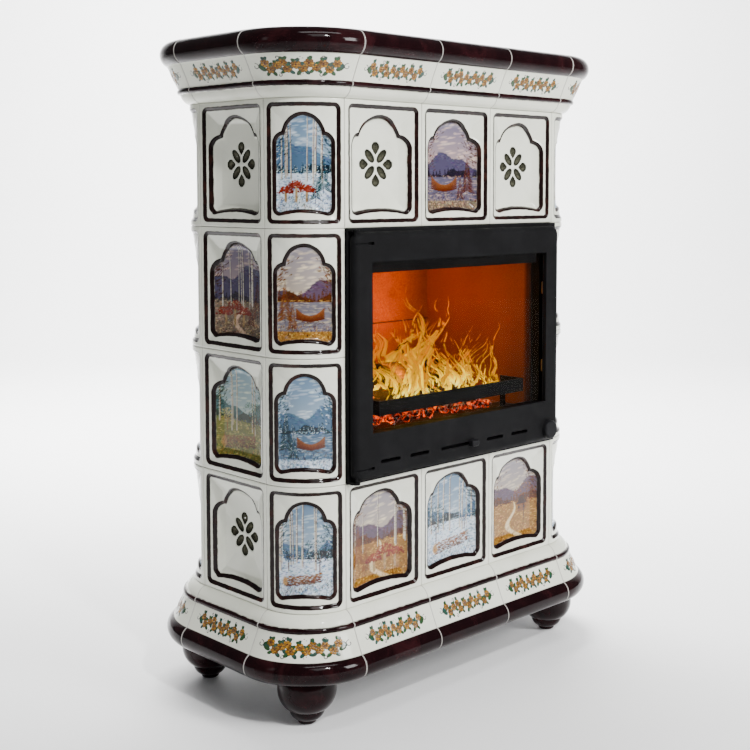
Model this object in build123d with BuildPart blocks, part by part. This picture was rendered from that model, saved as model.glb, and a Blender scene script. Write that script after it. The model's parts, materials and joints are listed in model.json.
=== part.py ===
"""Tiled wood stove: a firebox with a glazed door inside a skin of glazed stove tiles.

Frame: origin on the floor under the middle of the stove, +Z up, the door faces -Y. Millimetres.
"""

import math
import os

from build123d import *

# ---- driving dimensions -------------------------------------------------------------------------
# tile field
TILE_W = 200.0
TILE_H = 238.0
FRONT_TILES = 3
SIDE_TILES = 1
ROWS = 4
DOOR_TILES_HIGH = 2
CORNER_R = 105.0
SEAM = 0.6

# one tile
PLATE_T = 26.0
RIM_W = 9.0
RIM_CORNER_R = 7.0
FACET_DEPTH = 12.0
FACET_RUN = 13.0
NICHE_DEPTH = 7.0
NICHE_FROM_SIDE = 25.0
NICHE_FROM_TOP = 30.0
NICHE_FROM_FOOT = 27.0
NICHE_ARCH_RISE = 35.0
NICHE_SHOULDER_R = 24.0
NICHE_FOOT_RISE = 10.0
NICHE_FOOT_R = 12.0
CORNER_NICHE_SCALE = 0.62
RUMP_DEPTH = 34.0
RUMP_INSET = 15.0
RUMP_WALL = 8.0

# flower of air holes in a vent tile
PETAL_RING_R = 22.0
PETAL_LENGTH = 34.0
PETAL_WIDTH = 15.0
DROP_RING_R = 33.0
DROP_R = 10.0
DROP_TIP_R = 18.5

# mouldings: heights from the tile field, reaches out from the tile plane
MOULDING_H = 121.0
OVOLO_H = 19.0
OVOLO_REACH = 18.0
BEAD_H = 10.0
BEAD_REACH = 24.0
BAND_H = 45.5
BAND_REACH = 43.0
TORUS_REACH = 57.0
CREST_REACH = 34.0
MOULDING_WALL = 12.0
MOULDING_INSET = 50.0
OVOLO_SWELL_OUT = 0.68
OVOLO_SWELL_UP = 0.44
BAND_FOOT_OUT = 4.0
BAND_MIDDLE_OUT = 15.0
BAND_MIDDLE_UP = 0.55

# feet and base frame
FOOT_H = 90.0
FOOT_R = 56.0
FOOT_INSET = 50.0
FOOT_HEAD_R = 52.0
FOOT_BELLY_Z = 65.0
FOOT_WAIST_R = 34.0
FOOT_WAIST_Z = 27.0
FOOT_TOE_R = 18.5
FOOT_TOE_Z = 7.5
FOOT_SOLE_R = 11.5
TOE_ROUND_OUT = 0.83
TOE_ROUND_UP = 0.4
BULGE_OUT = 0.68
BULGE_UP = 0.38
HEAD_ROUND_IN = 0.2
BASE_PLATE_T = 3.0
BASE_PLATE_REACH = 12.0
BASE_WALL_H = 60.0
BASE_WALL_T = 4.0
STUD_R = 5.0
STUD_CLEARANCE = 0.5
STUD_BELOW = 30.0
STUD_END_GAP = 1.0
BASE_OPENING_END = 165.0
BASE_OPENING_SIDE = 115.0

# top plate, flue and back panel
TOP_PLATE_T = 3.0
TOP_PLATE_REACH = 15.0
SEAT_CLEARANCE = 0.5
FLUE_R = 75.0
FLUE_WALL = 2.0
FLUE_Y = 40.0
FLUE_STANDS_ABOVE = 18.0
TOP_SLOT_L = 60.0
TOP_SLOT_W = 8.0
TOP_SLOT_PITCH = 76.0
TOP_SLOTS_LONG = 8
TOP_SLOTS_DEEP = 3
COLLAR_W = 20.0
COLLAR_EDGE_R = 1.8
BACK_INSET = 5.0
BACK_SHEET_T = 2.0
BACK_FOLD = 16.0
LOUVRE_L = 90.0
LOUVRE_W = 7.0
LOUVRE_PITCH = 18.0
LOUVRE_COLUMNS = 4
LOUVRE_ROWS = 7
LOUVRE_COLUMN_PITCH = 140.0

# door frame
FRAME_GAP = 0.5
FRAME_PROUD = 11.0
FRAME_BACK = 15.0
FRAME_RECESS = 8.0
FRAME_LAND = 22.0
FRAME_TOP_LAND = 35.0
FRAME_FOOT_LAND = 12.0
FRAME_STEP = 8.0
FRAME_SLOT_MARGIN = 2.5
THROAT_FROM_SIDE = 44.0
THROAT_FOOT = 88.0
THROAT_FROM_TOP = 58.0
RELIEF_DEPTH = 4.5
RELIEF_W = 20.0
LUG_T = 4.0
LUG_R = 7.0

# door leaf
LEAF_T = 13.7
LEAF_GAP = 0.3
LEAF_SIDE_GAP = 1.5
LEAF_REST_GAP = 0.3
LEAF_FROM_TOP = 6.0
LEAF_CORNER_R = 20.0
LEAF_EDGE_R = 12.0
STILE_W = 46.0
PANE_OPENING_FOOT = 92.0
PANE_FROM_TOP = 63.0
PANE_LAP = 8.0
PANE_T = 4.0
PANE_CLEARANCE = 0.3
SLIT_FROM_END = 22.0
SLIT_W = 1.6
SLIT_DEPTH = 3.0
NOTCH_L = 15.0
NOTCH_W = 5.5
NOTCH_OVER_PANE = 4.0
HINGE_IN = 8.5
PIN_R = 3.0
PIN_CLEARANCE = 0.08
PIN_L = 28.0
PIN_END_GAP = 1.0

# air slots, slide, latch
SLOT_LEVEL = 36.0
SLOT_W = 7.0
SLOT_L = 52.0
LONG_SLOT_L = 100.0
SLOT_MIDDLE = -20.0
SLOT_OFFSETS = (110.0, 188.0)
SLIDE_T = 2.0
SLIDE_H = 20.0
SLIDE_TRAVEL = 75.0
SLIDE_END_MARGIN = 8.0
RUNNING_GAP = 0.15
LEVER_W = 20.0
LEVER_H = 13.0
LEVER_PROUD = 11.0
LEVER_NECK = 5.0
LEVER_NECK_L = 12.0
LEVER_CORNER_R = 2.5
LEVER_EDGE_R = 2.0
RAIL_T = 2.0
RAIL_LIP = 4.0
KNOB_FROM_SIDE = 36.0
KNOB_Z = 30.0
KNOB_R = 20.0
KNOB_T = 11.0
KNOB_EDGE_R = 4.95
SPINDLE_R = 5.0
CAM_L = 24.0
CAM_W = 13.0
CAM_T = 4.0
CAM_FLOOR_GAP = 1.6
KEEPER_T = 2.0
KEEPER_H = 18.0
KEEPER_FOOT_L = 7.0
KEEPER_FROM_CAM = 1.5

# gasket, clips, screws, air deflector, log bar
GASKET_W = 8.0
GASKET_FROM_PANE = 6.0
GASKET_GROOVE = 3.0
CLIP_L = 26.0
CLIP_W = 10.0
CLIP_T = 2.5
SCREW_R = 2.5
SCREW_HEAD_R = 4.25
SCREW_HEAD_H = 4.0
SCREW_FROM_END = 72.0
DEFLECTOR_T = 3.0
DEFLECTOR_H = 27.0
DEFLECTOR_FROM_SIDE = 4.0
DEFLECTOR_SETBACK = 2.0
DEFLECTOR_LEDGE = 11.0
BAR_FROM_WALL = 38.0
BAR_SETBACK = 3.0
BAR_FOOT = 116.0
BAR_H = 28.0
BAR_T = 5.0
BAR_LEG = 62.0
BAR_FOOT_L = 12.0

# firebox
FIRE_FROM_SIDE = 50.0
FIRE_DEPTH = 310.0
LINING_T = 30.0
SHELL_T = 4.0
FLOOR_BELOW_THROAT = 12.0
REAR_JOINT = 247.0
LINING_FROM_TOP = 28.0
LINING_JOINT = 1.0
LINING_LEDGE = 8.0
AIR_HOLE_LEVEL = 207.0
AIR_HOLE_R = 3.5
AIR_HOLE_PITCH = 33.0
AIR_HOLES = 10
BAFFLE_T = 25.0
BAFFLE_DEPTH = 210.0
SHELL_ABOVE_DOOR = 82.0
GRATE_W = 250.0
GRATE_D = 140.0
GRATE_T = 16.0
GRATE_BARS = 11
GRATE_SLOT_W = 11.0
GRATE_SLOT_END = 18.0
GRATE_CORNER_R = 4.0
GRATE_GAP = 1.0
GRATE_LEDGE = 10.0
ASH_WELL_DEPTH = 96.0
ASH_WELL_HALF_W = 160.0
ASH_WELL_LENGTH = 230.0
WELL_BEHIND_TILES = 10.0
DUCT_BESIDE_SLOT = 4.0
DUCT_BELOW_SLOT = 6.0
SHEET = 2.0
ASH_PAN_H = 55.0
PAN_GAP = 5.0
STAND_LEG = 40.0
STAND_TIE_W = 28.0
TIE_FROM_WELL = 7.0
STAND_T = 4.0

# ---- places that follow from them ---------------------------------------------------------------
HALF_FLAT_X = FRONT_TILES * TILE_W / 2
HALF_FLAT_Y = SIDE_TILES * TILE_W / 2
NICHE_HALF_W = TILE_W / 2 - NICHE_FROM_SIDE
NICHE_TOP = TILE_H / 2 - NICHE_FROM_TOP
NICHE_FOOT = NICHE_FROM_FOOT - TILE_H / 2
HALF_X = HALF_FLAT_X + CORNER_R
HALF_Y = HALF_FLAT_Y + CORNER_R
FRONT_Y = -HALF_Y
PLINTH_Z = FOOT_H + BASE_PLATE_T
TILES_Z = PLINTH_Z + MOULDING_H
CORNICE_Z = TILES_Z + ROWS * TILE_H
TOP_Z = CORNICE_Z + MOULDING_H
DOOR_Z = TILES_Z + TILE_H
DOOR_H = DOOR_TILES_HIGH * TILE_H
THROAT_HALF_W = HALF_FLAT_X - THROAT_FROM_SIDE
THROAT_TOP = DOOR_H - THROAT_FROM_TOP
LEAF_HEAD = DOOR_H - LEAF_FROM_TOP
PANE_OPENING_HALF_W = HALF_FLAT_X - STILE_W
PANE_OPENING_TOP = DOOR_H - PANE_FROM_TOP
KNOB_X = HALF_FLAT_X - KNOB_FROM_SIDE
FIRE_HALF_W = HALF_FLAT_X - FIRE_FROM_SIDE
FRAME_FRONT = FRONT_Y - FRAME_PROUD
FRAME_REAR = FRONT_Y + FRAME_BACK
RECESS_FLOOR = FRAME_FRONT + FRAME_RECESS
LEAF_BACK = FRAME_FRONT - LEAF_GAP
LEAF_FRONT = LEAF_BACK - LEAF_T
HINGE_X = -HALF_FLAT_X + LEAF_SIDE_GAP + HINGE_IN
HINGE_Y = (LEAF_FRONT + LEAF_BACK) / 2
RECESS_HALF_W = HALF_FLAT_X - FRAME_LAND
LEAF_FOOT = FRAME_GAP + LUG_T + LEAF_REST_GAP
LEAF_HALF_W = HALF_FLAT_X - LEAF_SIDE_GAP
PANE_HALF_W = PANE_OPENING_HALF_W + PANE_LAP
PANE_FOOT = PANE_OPENING_FOOT - PANE_LAP
PANE_TOP = PANE_OPENING_TOP + PANE_LAP
SHELL_HALF_W = FIRE_HALF_W + LINING_T + 2 * SHELL_T
SHELL_FRONT = FRAME_REAR
FIRE_FRONT = SHELL_FRONT + SHELL_T
FIRE_REAR = FIRE_FRONT + FIRE_DEPTH
SHELL_REAR = FIRE_REAR + LINING_T + SHELL_T
FIRE_FLOOR_Z = DOOR_Z + THROAT_FOOT - FLOOR_BELOW_THROAT
SHELL_FOOT_Z = FIRE_FLOOR_Z - LINING_T - SHELL_T
LINING_TOP_Z = DOOR_Z + DOOR_H - LINING_FROM_TOP
SHELL_TOP_Z = DOOR_Z + DOOR_H + SHELL_ABOVE_DOOR
GRATE_Y = (FIRE_FRONT + FIRE_REAR) / 2
DEEP_TILE_BACK = PLATE_T + RUMP_DEPTH
WELL_FOOT_Z = SHELL_FOOT_Z - ASH_WELL_DEPTH
WELL_FRONT = FRONT_Y + DEEP_TILE_BACK + WELL_BEHIND_TILES
WELL_REAR = WELL_FRONT + ASH_WELL_LENGTH
SLOT_Z = DOOR_Z + SLOT_LEVEL

SCREW_X = SHELL_HALF_W - SHELL_T
SCREW_LEVELS = (SCREW_FROM_END, DOOR_H / 2, DOOR_H - SCREW_FROM_END)
SCREW_PLACES = [(sign * SCREW_X, level) for sign in (-1, 1) for level in SCREW_LEVELS]

CORNERS = {
    "front_left": (-HALF_FLAT_X, -HALF_FLAT_Y, 180),
    "front_right": (HALF_FLAT_X, -HALF_FLAT_Y, 270),
    "rear_right": (HALF_FLAT_X, HALF_FLAT_Y, 0),
    "rear_left": (-HALF_FLAT_X, HALF_FLAT_Y, 90),
}
SEAM_ANGLE = math.degrees(SEAM / 2 / CORNER_R)

os.makedirs("parts", exist_ok=True)


def write(part, name):
    """Label a finished piece and write it under its name."""
    part.label = name
    export_step(part, f"parts/{name}.step")


def front_plane(x, y, z):
    """A plane facing the viewer of the door: local x to the right, local y up."""
    return Plane(origin=(x, y, z), x_dir=(1, 0, 0), z_dir=(0, -1, 0))


def left_plane(x, y, z):
    """A plane facing left, away from the stove: local x towards the front, local y up."""
    return Plane(origin=(x, y, z), x_dir=(0, -1, 0), z_dir=(-1, 0, 0))


def right_plane(x, y, z):
    """A plane facing right, away from the stove: local x towards the back, local y up."""
    return Plane(origin=(x, y, z), x_dir=(0, 1, 0), z_dir=(1, 0, 0))


def radial_plane(centre_x, centre_y, z, angle):
    """An upright plane through a corner's axis: local x runs out from the axis, local y up."""
    c = math.cos(math.radians(angle))
    s = math.sin(math.radians(angle))
    return Plane(origin=(centre_x, centre_y, z), x_dir=(c, s, 0), z_dir=(s, -c, 0))


def niche_outline(width_scale=1.0):
    """The arched niche of a tile, about the tile's middle."""
    side = NICHE_HALF_W * width_scale
    shoulder = NICHE_SHOULDER_R * width_scale
    arch = side - shoulder
    spring = NICHE_TOP - NICHE_ARCH_RISE
    with BuildSketch(mode=Mode.PRIVATE) as outline:
        with BuildLine():
            ThreePointArc((arch, spring), (0, NICHE_TOP), (-arch, spring))
            for sign in (1, -1):
                RadiusArc(
                    (sign * arch, spring),
                    (sign * side, spring - shoulder),
                    sign * shoulder,
                )
                Line((sign * side, spring - shoulder), (sign * side, NICHE_FOOT + NICHE_FOOT_R))
                RadiusArc(
                    (sign * side, NICHE_FOOT + NICHE_FOOT_R),
                    (sign * (side - NICHE_FOOT_R), NICHE_FOOT),
                    sign * NICHE_FOOT_R,
                )
            ThreePointArc(
                (side - NICHE_FOOT_R, NICHE_FOOT),
                (0, NICHE_FOOT + NICHE_FOOT_RISE),
                (-(side - NICHE_FOOT_R), NICHE_FOOT),
            )
        make_face()
    return outline.sketch


def petal_outlines():
    """Eight air holes: four leaves on the diagonals and four drops between them."""
    drop_reach = DROP_RING_R - DROP_TIP_R
    shoulder_x = DROP_RING_R - DROP_R * DROP_R / drop_reach
    shoulder_y = DROP_R * math.sqrt(1 - (DROP_R / drop_reach) ** 2)
    with BuildSketch(mode=Mode.PRIVATE) as petals:
        with PolarLocations(PETAL_RING_R, 4, start_angle=45):
            Ellipse(PETAL_LENGTH / 2, PETAL_WIDTH / 2)
        with PolarLocations(0, 4):
            with Locations((DROP_RING_R, 0)):
                Circle(DROP_R)
            Polygon(
                (DROP_TIP_R, 0),
                (shoulder_x, shoulder_y),
                (shoulder_x, -shoulder_y),
                align=None,
            )
    return petals.sketch


def flat_tile(face, vented):
    """A flat tile: rim, mitred facets, arched niche and a hollow rump behind the plate."""
    width = TILE_W - SEAM
    height = TILE_H - SEAM
    facet_w = width - 2 * RIM_W
    facet_h = height - 2 * RIM_W
    with BuildPart() as tile:
        with BuildSketch(face.offset(-PLATE_T)):
            Rectangle(width, height)
        extrude(amount=PLATE_T)
        with BuildSketch(face.offset(-PLATE_T - RUMP_DEPTH)):
            Rectangle(width - 2 * RUMP_INSET, height - 2 * RUMP_INSET)
            offset(amount=-RUMP_WALL, kind=Kind.INTERSECTION, mode=Mode.SUBTRACT)
        extrude(amount=RUMP_DEPTH)
        with BuildSketch(face):
            RectangleRounded(facet_w, facet_h, RIM_CORNER_R)
        with BuildSketch(face.offset(-FACET_DEPTH)):
            RectangleRounded(facet_w - 2 * FACET_RUN, facet_h - 2 * FACET_RUN, RIM_CORNER_R)
        loft(mode=Mode.SUBTRACT)
        with BuildSketch(face.offset(-FACET_DEPTH - NICHE_DEPTH)):
            add(niche_outline())
        extrude(amount=FACET_DEPTH, mode=Mode.SUBTRACT)
        if vented:
            with BuildSketch(face.offset(-PLATE_T)):
                add(petal_outlines())
            extrude(amount=PLATE_T, mode=Mode.SUBTRACT)
    return tile.part


def corner_tile(centre_x, centre_y, start_angle, foot_z):
    """A quarter-round tile with the same rim, recess and niche bent round the corner."""
    z = foot_z + SEAM / 2
    height = TILE_H - SEAM
    axis = Axis((centre_x, centre_y, 0), (0, 0, 1))
    arc = 90 - 2 * SEAM_ANGLE
    rim_angle = math.degrees(RIM_W / CORNER_R)
    slope_angle = math.degrees(FACET_RUN / CORNER_R)
    wall_angle = math.degrees(RUMP_WALL / (CORNER_R - PLATE_T))
    inset_angle = math.degrees(RUMP_INSET / (CORNER_R - PLATE_T)) / 2
    middle = radial_plane(centre_x, centre_y, 0, start_angle + 45).x_dir
    niche_face = Plane(
        origin=(centre_x, centre_y, foot_z + TILE_H / 2),
        x_dir=Vector(0, 0, 1).cross(middle),
        z_dir=middle,
    )
    first = start_angle + SEAM_ANGLE
    floor_r = CORNER_R - FACET_DEPTH
    niche_r = floor_r - NICHE_DEPTH
    with BuildPart() as niche:
        with BuildSketch(niche_face):
            add(niche_outline(width_scale=CORNER_NICHE_SCALE))
        extrude(amount=CORNER_R)
        with BuildSketch(Plane((centre_x, centre_y, z))):
            Circle(CORNER_R)
            Circle(niche_r, mode=Mode.SUBTRACT)
        extrude(amount=height, mode=Mode.INTERSECT)
    with BuildPart() as tile:
        with BuildSketch(radial_plane(centre_x, centre_y, z, first)):
            with Locations((CORNER_R - PLATE_T, 0)):
                Rectangle(PLATE_T, height, align=Align.MIN)
        revolve(axis=axis, revolution_arc=arc)
        with BuildSketch(radial_plane(centre_x, centre_y, z, first + inset_angle)):
            with Locations((CORNER_R - PLATE_T - RUMP_DEPTH, RUMP_INSET)):
                Rectangle(RUMP_DEPTH, height - 2 * RUMP_INSET, align=Align.MIN)
        revolve(axis=axis, revolution_arc=arc - 2 * inset_angle)
        with BuildSketch(radial_plane(centre_x, centre_y, z, first + inset_angle + wall_angle)):
            with Locations((CORNER_R - DEEP_TILE_BACK - RUMP_WALL, RUMP_INSET + RUMP_WALL)):
                Rectangle(
                    RUMP_DEPTH + RUMP_WALL,
                    height - 2 * RUMP_INSET - 2 * RUMP_WALL,
                    align=Align.MIN,
                )
        revolve(axis=axis, revolution_arc=arc - 2 * inset_angle - 2 * wall_angle, mode=Mode.SUBTRACT)
        for angle_in, inset, depth in (
            (rim_angle, RIM_W, FACET_DEPTH / 2),
            (rim_angle + slope_angle / 2, RIM_W + FACET_RUN / 2, FACET_DEPTH),
        ):
            with BuildSketch(radial_plane(centre_x, centre_y, z, first + angle_in)):
                with Locations((CORNER_R - depth, inset)):
                    Rectangle(depth + RIM_W, height - 2 * inset, align=Align.MIN)
            revolve(axis=axis, revolution_arc=arc - 2 * angle_in, mode=Mode.SUBTRACT)
        add(niche.part, mode=Mode.SUBTRACT)
    return tile.part


def moulding_section(rise):
    """The hollow cornice section: local x out from the tile plane, local y away from the tiles.

    rise is +1 for the cornice and -1 for the plinth, which is the same section turned over.
    """
    bead_z = OVOLO_H + BEAD_H
    band_z = bead_z + BAND_H
    band_foot = OVOLO_REACH + BAND_FOOT_OUT
    band_middle = OVOLO_REACH + BAND_MIDDLE_OUT
    band_middle_z = bead_z + BAND_H * BAND_MIDDLE_UP
    seat_reach = TOP_PLATE_REACH + SEAT_CLEARANCE
    with BuildSketch(mode=Mode.PRIVATE) as section:
        with BuildLine():
            Line((-MOULDING_INSET, 0), (0, 0))
            ThreePointArc(
                (0, 0),
                (OVOLO_REACH * OVOLO_SWELL_OUT, OVOLO_H * OVOLO_SWELL_UP),
                (OVOLO_REACH, OVOLO_H),
            )
            ThreePointArc(
                (OVOLO_REACH, OVOLO_H), (BEAD_REACH, OVOLO_H + BEAD_H / 2), (band_foot, bead_z)
            )
            ThreePointArc(
                (band_foot, bead_z),
                (band_middle, band_middle_z),
                (BAND_REACH, band_z),
            )
            ThreePointArc(
                (BAND_REACH, band_z),
                (TORUS_REACH, (band_z + MOULDING_H) / 2),
                (CREST_REACH, MOULDING_H),
            )
            Polyline(
                (CREST_REACH, MOULDING_H),
                (-MOULDING_INSET, MOULDING_H),
                (-MOULDING_INSET, 0),
            )
        make_face()
        with BuildLine():
            Polyline(
                (-MOULDING_INSET, MOULDING_WALL),
                (0, MOULDING_WALL),
                (OVOLO_REACH - MOULDING_WALL, OVOLO_H),
                (band_middle - MOULDING_WALL, band_middle_z),
                (BAND_REACH - MOULDING_WALL, band_z),
                (TORUS_REACH - MOULDING_WALL, (band_z + MOULDING_H) / 2),
                (CREST_REACH, MOULDING_H - MOULDING_WALL),
                (-MOULDING_INSET, MOULDING_H - MOULDING_WALL),
                close=True,
            )
        make_face(mode=Mode.SUBTRACT)
        if rise > 0:
            with Locations((-MOULDING_INSET, MOULDING_H)):
                Rectangle(
                    MOULDING_INSET + seat_reach,
                    TOP_PLATE_T,
                    align=(Align.MIN, Align.MAX),
                    mode=Mode.SUBTRACT,
                )
        else:
            mirror(about=Plane.XZ, mode=Mode.REPLACE)
    return section.sketch


def corner_moulding(centre_x, centre_y, start_angle, joint_z, rise):
    """A quarter turn of the moulding round a corner."""
    with BuildPart() as piece:
        with BuildSketch(radial_plane(centre_x, centre_y, joint_z, start_angle + SEAM_ANGLE)):
            with Locations((CORNER_R, 0)):
                add(moulding_section(rise))
        revolve(axis=Axis((centre_x, centre_y, 0), (0, 0, 1)), revolution_arc=90 - 2 * SEAM_ANGLE)
    return piece.part


def straight_moulding(end_plane, length, rise):
    """A straight run of the moulding, drawn on its end and drawn out along the wall."""
    with BuildPart() as piece:
        with BuildSketch(end_plane):
            add(moulding_section(rise))
        extrude(amount=length)
    return piece.part


def wall_run(side, joint_z, rise):
    """The straight mouldings of one wall, one to each tile."""
    length = TILE_W - SEAM
    pieces = []
    if side in ("front", "rear"):
        out = -1 if side == "front" else 1
        for column in range(FRONT_TILES):
            x = -HALF_FLAT_X + column * TILE_W + SEAM / 2
            end = Plane(
                origin=(x if out > 0 else x + length, out * HALF_Y, joint_z),
                x_dir=(0, out, 0),
                z_dir=(out, 0, 0),
            )
            pieces.append(straight_moulding(end, length, rise))
    else:
        out = -1 if side == "left" else 1
        for column in range(SIDE_TILES):
            y = -HALF_FLAT_Y + column * TILE_W + SEAM / 2
            end = Plane(
                origin=(out * HALF_X, y if out < 0 else y + length, joint_z),
                x_dir=(out, 0, 0),
                z_dir=(0, -out, 0),
            )
            pieces.append(straight_moulding(end, length, rise))
    return pieces


def ring_outline(reach):
    """The plan of the tile field, grown outwards by reach."""
    return RectangleRounded(2 * (HALF_X + reach), 2 * (HALF_Y + reach), CORNER_R + reach)


# ---- feet ---------------------------------------------------------------------------------------
FOOT_X = HALF_X - FOOT_INSET
FOOT_Y = HALF_Y - FOOT_INSET


def foot(x, y):
    """A turned foot of three bulges that narrow towards the floor."""
    bulges = [(FOOT_TOE_R, FOOT_TOE_Z), (FOOT_WAIST_R, FOOT_WAIST_Z), (FOOT_R, FOOT_BELLY_Z)]
    toe_round = (
        FOOT_SOLE_R + TOE_ROUND_OUT * (FOOT_TOE_R - FOOT_SOLE_R),
        TOE_ROUND_UP * FOOT_TOE_Z,
    )
    head_round = (
        FOOT_R - HEAD_ROUND_IN * (FOOT_R - FOOT_HEAD_R),
        (FOOT_BELLY_Z + FOOT_H) / 2,
    )
    with BuildPart() as piece:
        with BuildSketch(Plane(origin=(x, y, 0), x_dir=(1, 0, 0), z_dir=(0, -1, 0))):
            with BuildLine():
                Line((0, 0), (FOOT_SOLE_R, 0))
                ThreePointArc((FOOT_SOLE_R, 0), toe_round, (FOOT_TOE_R, FOOT_TOE_Z))
                for lower, upper in zip(bulges, bulges[1:]):
                    run = upper[0] - lower[0]
                    rise = upper[1] - lower[1]
                    swell = (lower[0] + BULGE_OUT * run, lower[1] + BULGE_UP * rise)
                    ThreePointArc(lower, swell, upper)
                ThreePointArc((FOOT_R, FOOT_BELLY_Z), head_round, (FOOT_HEAD_R, FOOT_H))
                Polyline((FOOT_HEAD_R, FOOT_H), (0, FOOT_H), (0, 0))
            make_face()
        revolve(axis=Axis((x, y, 0), (0, 0, 1)))
        with BuildSketch(Plane((x, y, FOOT_H))):
            Circle(STUD_R + STUD_CLEARANCE)
        extrude(amount=-STUD_BELOW - STUD_END_GAP, mode=Mode.SUBTRACT)
    return piece.part


for corner, (corner_x, corner_y, _) in CORNERS.items():
    foot_x = math.copysign(FOOT_X, corner_x)
    foot_y = math.copysign(FOOT_Y, corner_y)
    write(foot(foot_x, foot_y), f"foot_{corner}")

with BuildPart() as foot_studs:
    with BuildSketch(Plane.XY.offset(FOOT_H - STUD_BELOW)):
        with GridLocations(2 * FOOT_X, 2 * FOOT_Y, 2, 2):
            Circle(STUD_R)
    extrude(amount=STUD_BELOW + BASE_PLATE_T)
write(foot_studs.part, "foot_studs")

# ---- base frame: plate under the plinth with an upright wall inside it --------------------------
BASE_WALL_X = HALF_X - MOULDING_INSET - SEAT_CLEARANCE
BASE_WALL_Y = HALF_Y - MOULDING_INSET - SEAT_CLEARANCE
BASE_WALL_R = CORNER_R - MOULDING_INSET - SEAT_CLEARANCE
with BuildPart() as base_frame:
    with BuildSketch(Plane.XY.offset(FOOT_H)):
        ring_outline(BASE_PLATE_REACH)
        Rectangle(
            2 * (HALF_X - BASE_OPENING_END),
            2 * (HALF_Y - BASE_OPENING_SIDE),
            mode=Mode.SUBTRACT,
        )
        with GridLocations(2 * FOOT_X, 2 * FOOT_Y, 2, 2):
            Circle(STUD_R, mode=Mode.SUBTRACT)
    extrude(amount=BASE_PLATE_T)
    with BuildSketch(Plane.XY.offset(PLINTH_Z)):
        RectangleRounded(2 * BASE_WALL_X, 2 * BASE_WALL_Y, BASE_WALL_R)
        offset(amount=-BASE_WALL_T, mode=Mode.SUBTRACT)
    extrude(amount=BASE_WALL_H)
write(base_frame.part, "base_frame")

# ---- plinth and cornice -------------------------------------------------------------------------
for ring, joint_z, rise in (("plinth", TILES_Z, -1), ("cornice", CORNICE_Z, 1)):
    corner_pieces = [corner_moulding(*corner, joint_z, rise) for corner in CORNERS.values()]
    write(Compound(children=corner_pieces), f"{ring}_corners")
    side_pieces = wall_run("left", joint_z, rise) + wall_run("right", joint_z, rise)
    write(Compound(children=wall_run("front", joint_z, rise)), f"{ring}_front")
    write(Compound(children=wall_run("rear", joint_z, rise)), f"{ring}_rear")
    write(Compound(children=side_pieces), f"{ring}_sides")

# ---- tiles --------------------------------------------------------------------------------------
def row_middle(row):
    """Height of the middle of a tile row, counted from 0 at the foot."""
    return TILES_Z + (row + 0.5) * TILE_H


TOP_ROW = ROWS - 1
ROW_NAMES = ("bottom", "lower", "upper", "top")
COLUMN_NAMES = ("left", "middle", "right")

for row in (0, TOP_ROW):
    for column in range(FRONT_TILES):
        column_x = -HALF_FLAT_X + (column + 0.5) * TILE_W
        vented = row == TOP_ROW and column != FRONT_TILES // 2
        face = front_plane(column_x, FRONT_Y, row_middle(row))
        write(flat_tile(face, vented), f"front_tile_{ROW_NAMES[row]}_{COLUMN_NAMES[column]}")

for side, plane_of, side_x in (("left", left_plane, -HALF_X), ("right", right_plane, HALF_X)):
    for row in range(ROWS):
        face = plane_of(side_x, 0, row_middle(row))
        vented = row in (0, TOP_ROW)
        write(flat_tile(face, vented), f"{side}_tile_{ROW_NAMES[row]}")

for corner, (corner_x, corner_y, start_angle) in CORNERS.items():
    column = [
        corner_tile(corner_x, corner_y, start_angle, TILES_Z + row * TILE_H) for row in range(ROWS)
    ]
    write(Compound(children=column), f"corner_tiles_{corner}")

# clips that tie the rumps of neighbouring flat tiles behind their seam
CLIP_SHEET = 1.5
CLIP_STRIP_W = 20.0
CLIP_BITE = 12.0


def tile_clip(back):
    """A bent strip over two rump walls: local x crosses the seam, local z points into the stove."""
    inner = RUMP_INSET + RUMP_WALL + SEAM / 2
    with BuildPart() as clip:
        with BuildSketch(back):
            Rectangle(2 * (inner + CLIP_SHEET), CLIP_STRIP_W)
        extrude(amount=CLIP_SHEET)
        with BuildSketch(back):
            for sign in (1, -1):
                with Locations((sign * (inner + CLIP_SHEET / 2), 0)):
                    Rectangle(CLIP_SHEET, CLIP_STRIP_W)
        extrude(amount=-CLIP_BITE)
    return clip.part


clips = []
for row in (0, TOP_ROW):
    for seam in range(1, FRONT_TILES):
        seam_x = -HALF_FLAT_X + seam * TILE_W
        seam_y = FRONT_Y + DEEP_TILE_BACK
        clips.append(
            tile_clip(Plane((seam_x, seam_y, row_middle(row)), x_dir=(1, 0, 0), z_dir=(0, 1, 0)))
        )
for row in range(1, ROWS):
    for sign in (1, -1):
        seam_x = sign * (HALF_X - DEEP_TILE_BACK)
        clips.append(
            tile_clip(
                Plane((seam_x, 0, TILES_Z + row * TILE_H), x_dir=(0, 0, 1), z_dir=(-sign, 0, 0))
            )
        )
write(Compound(children=clips), "tile_clips")

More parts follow.
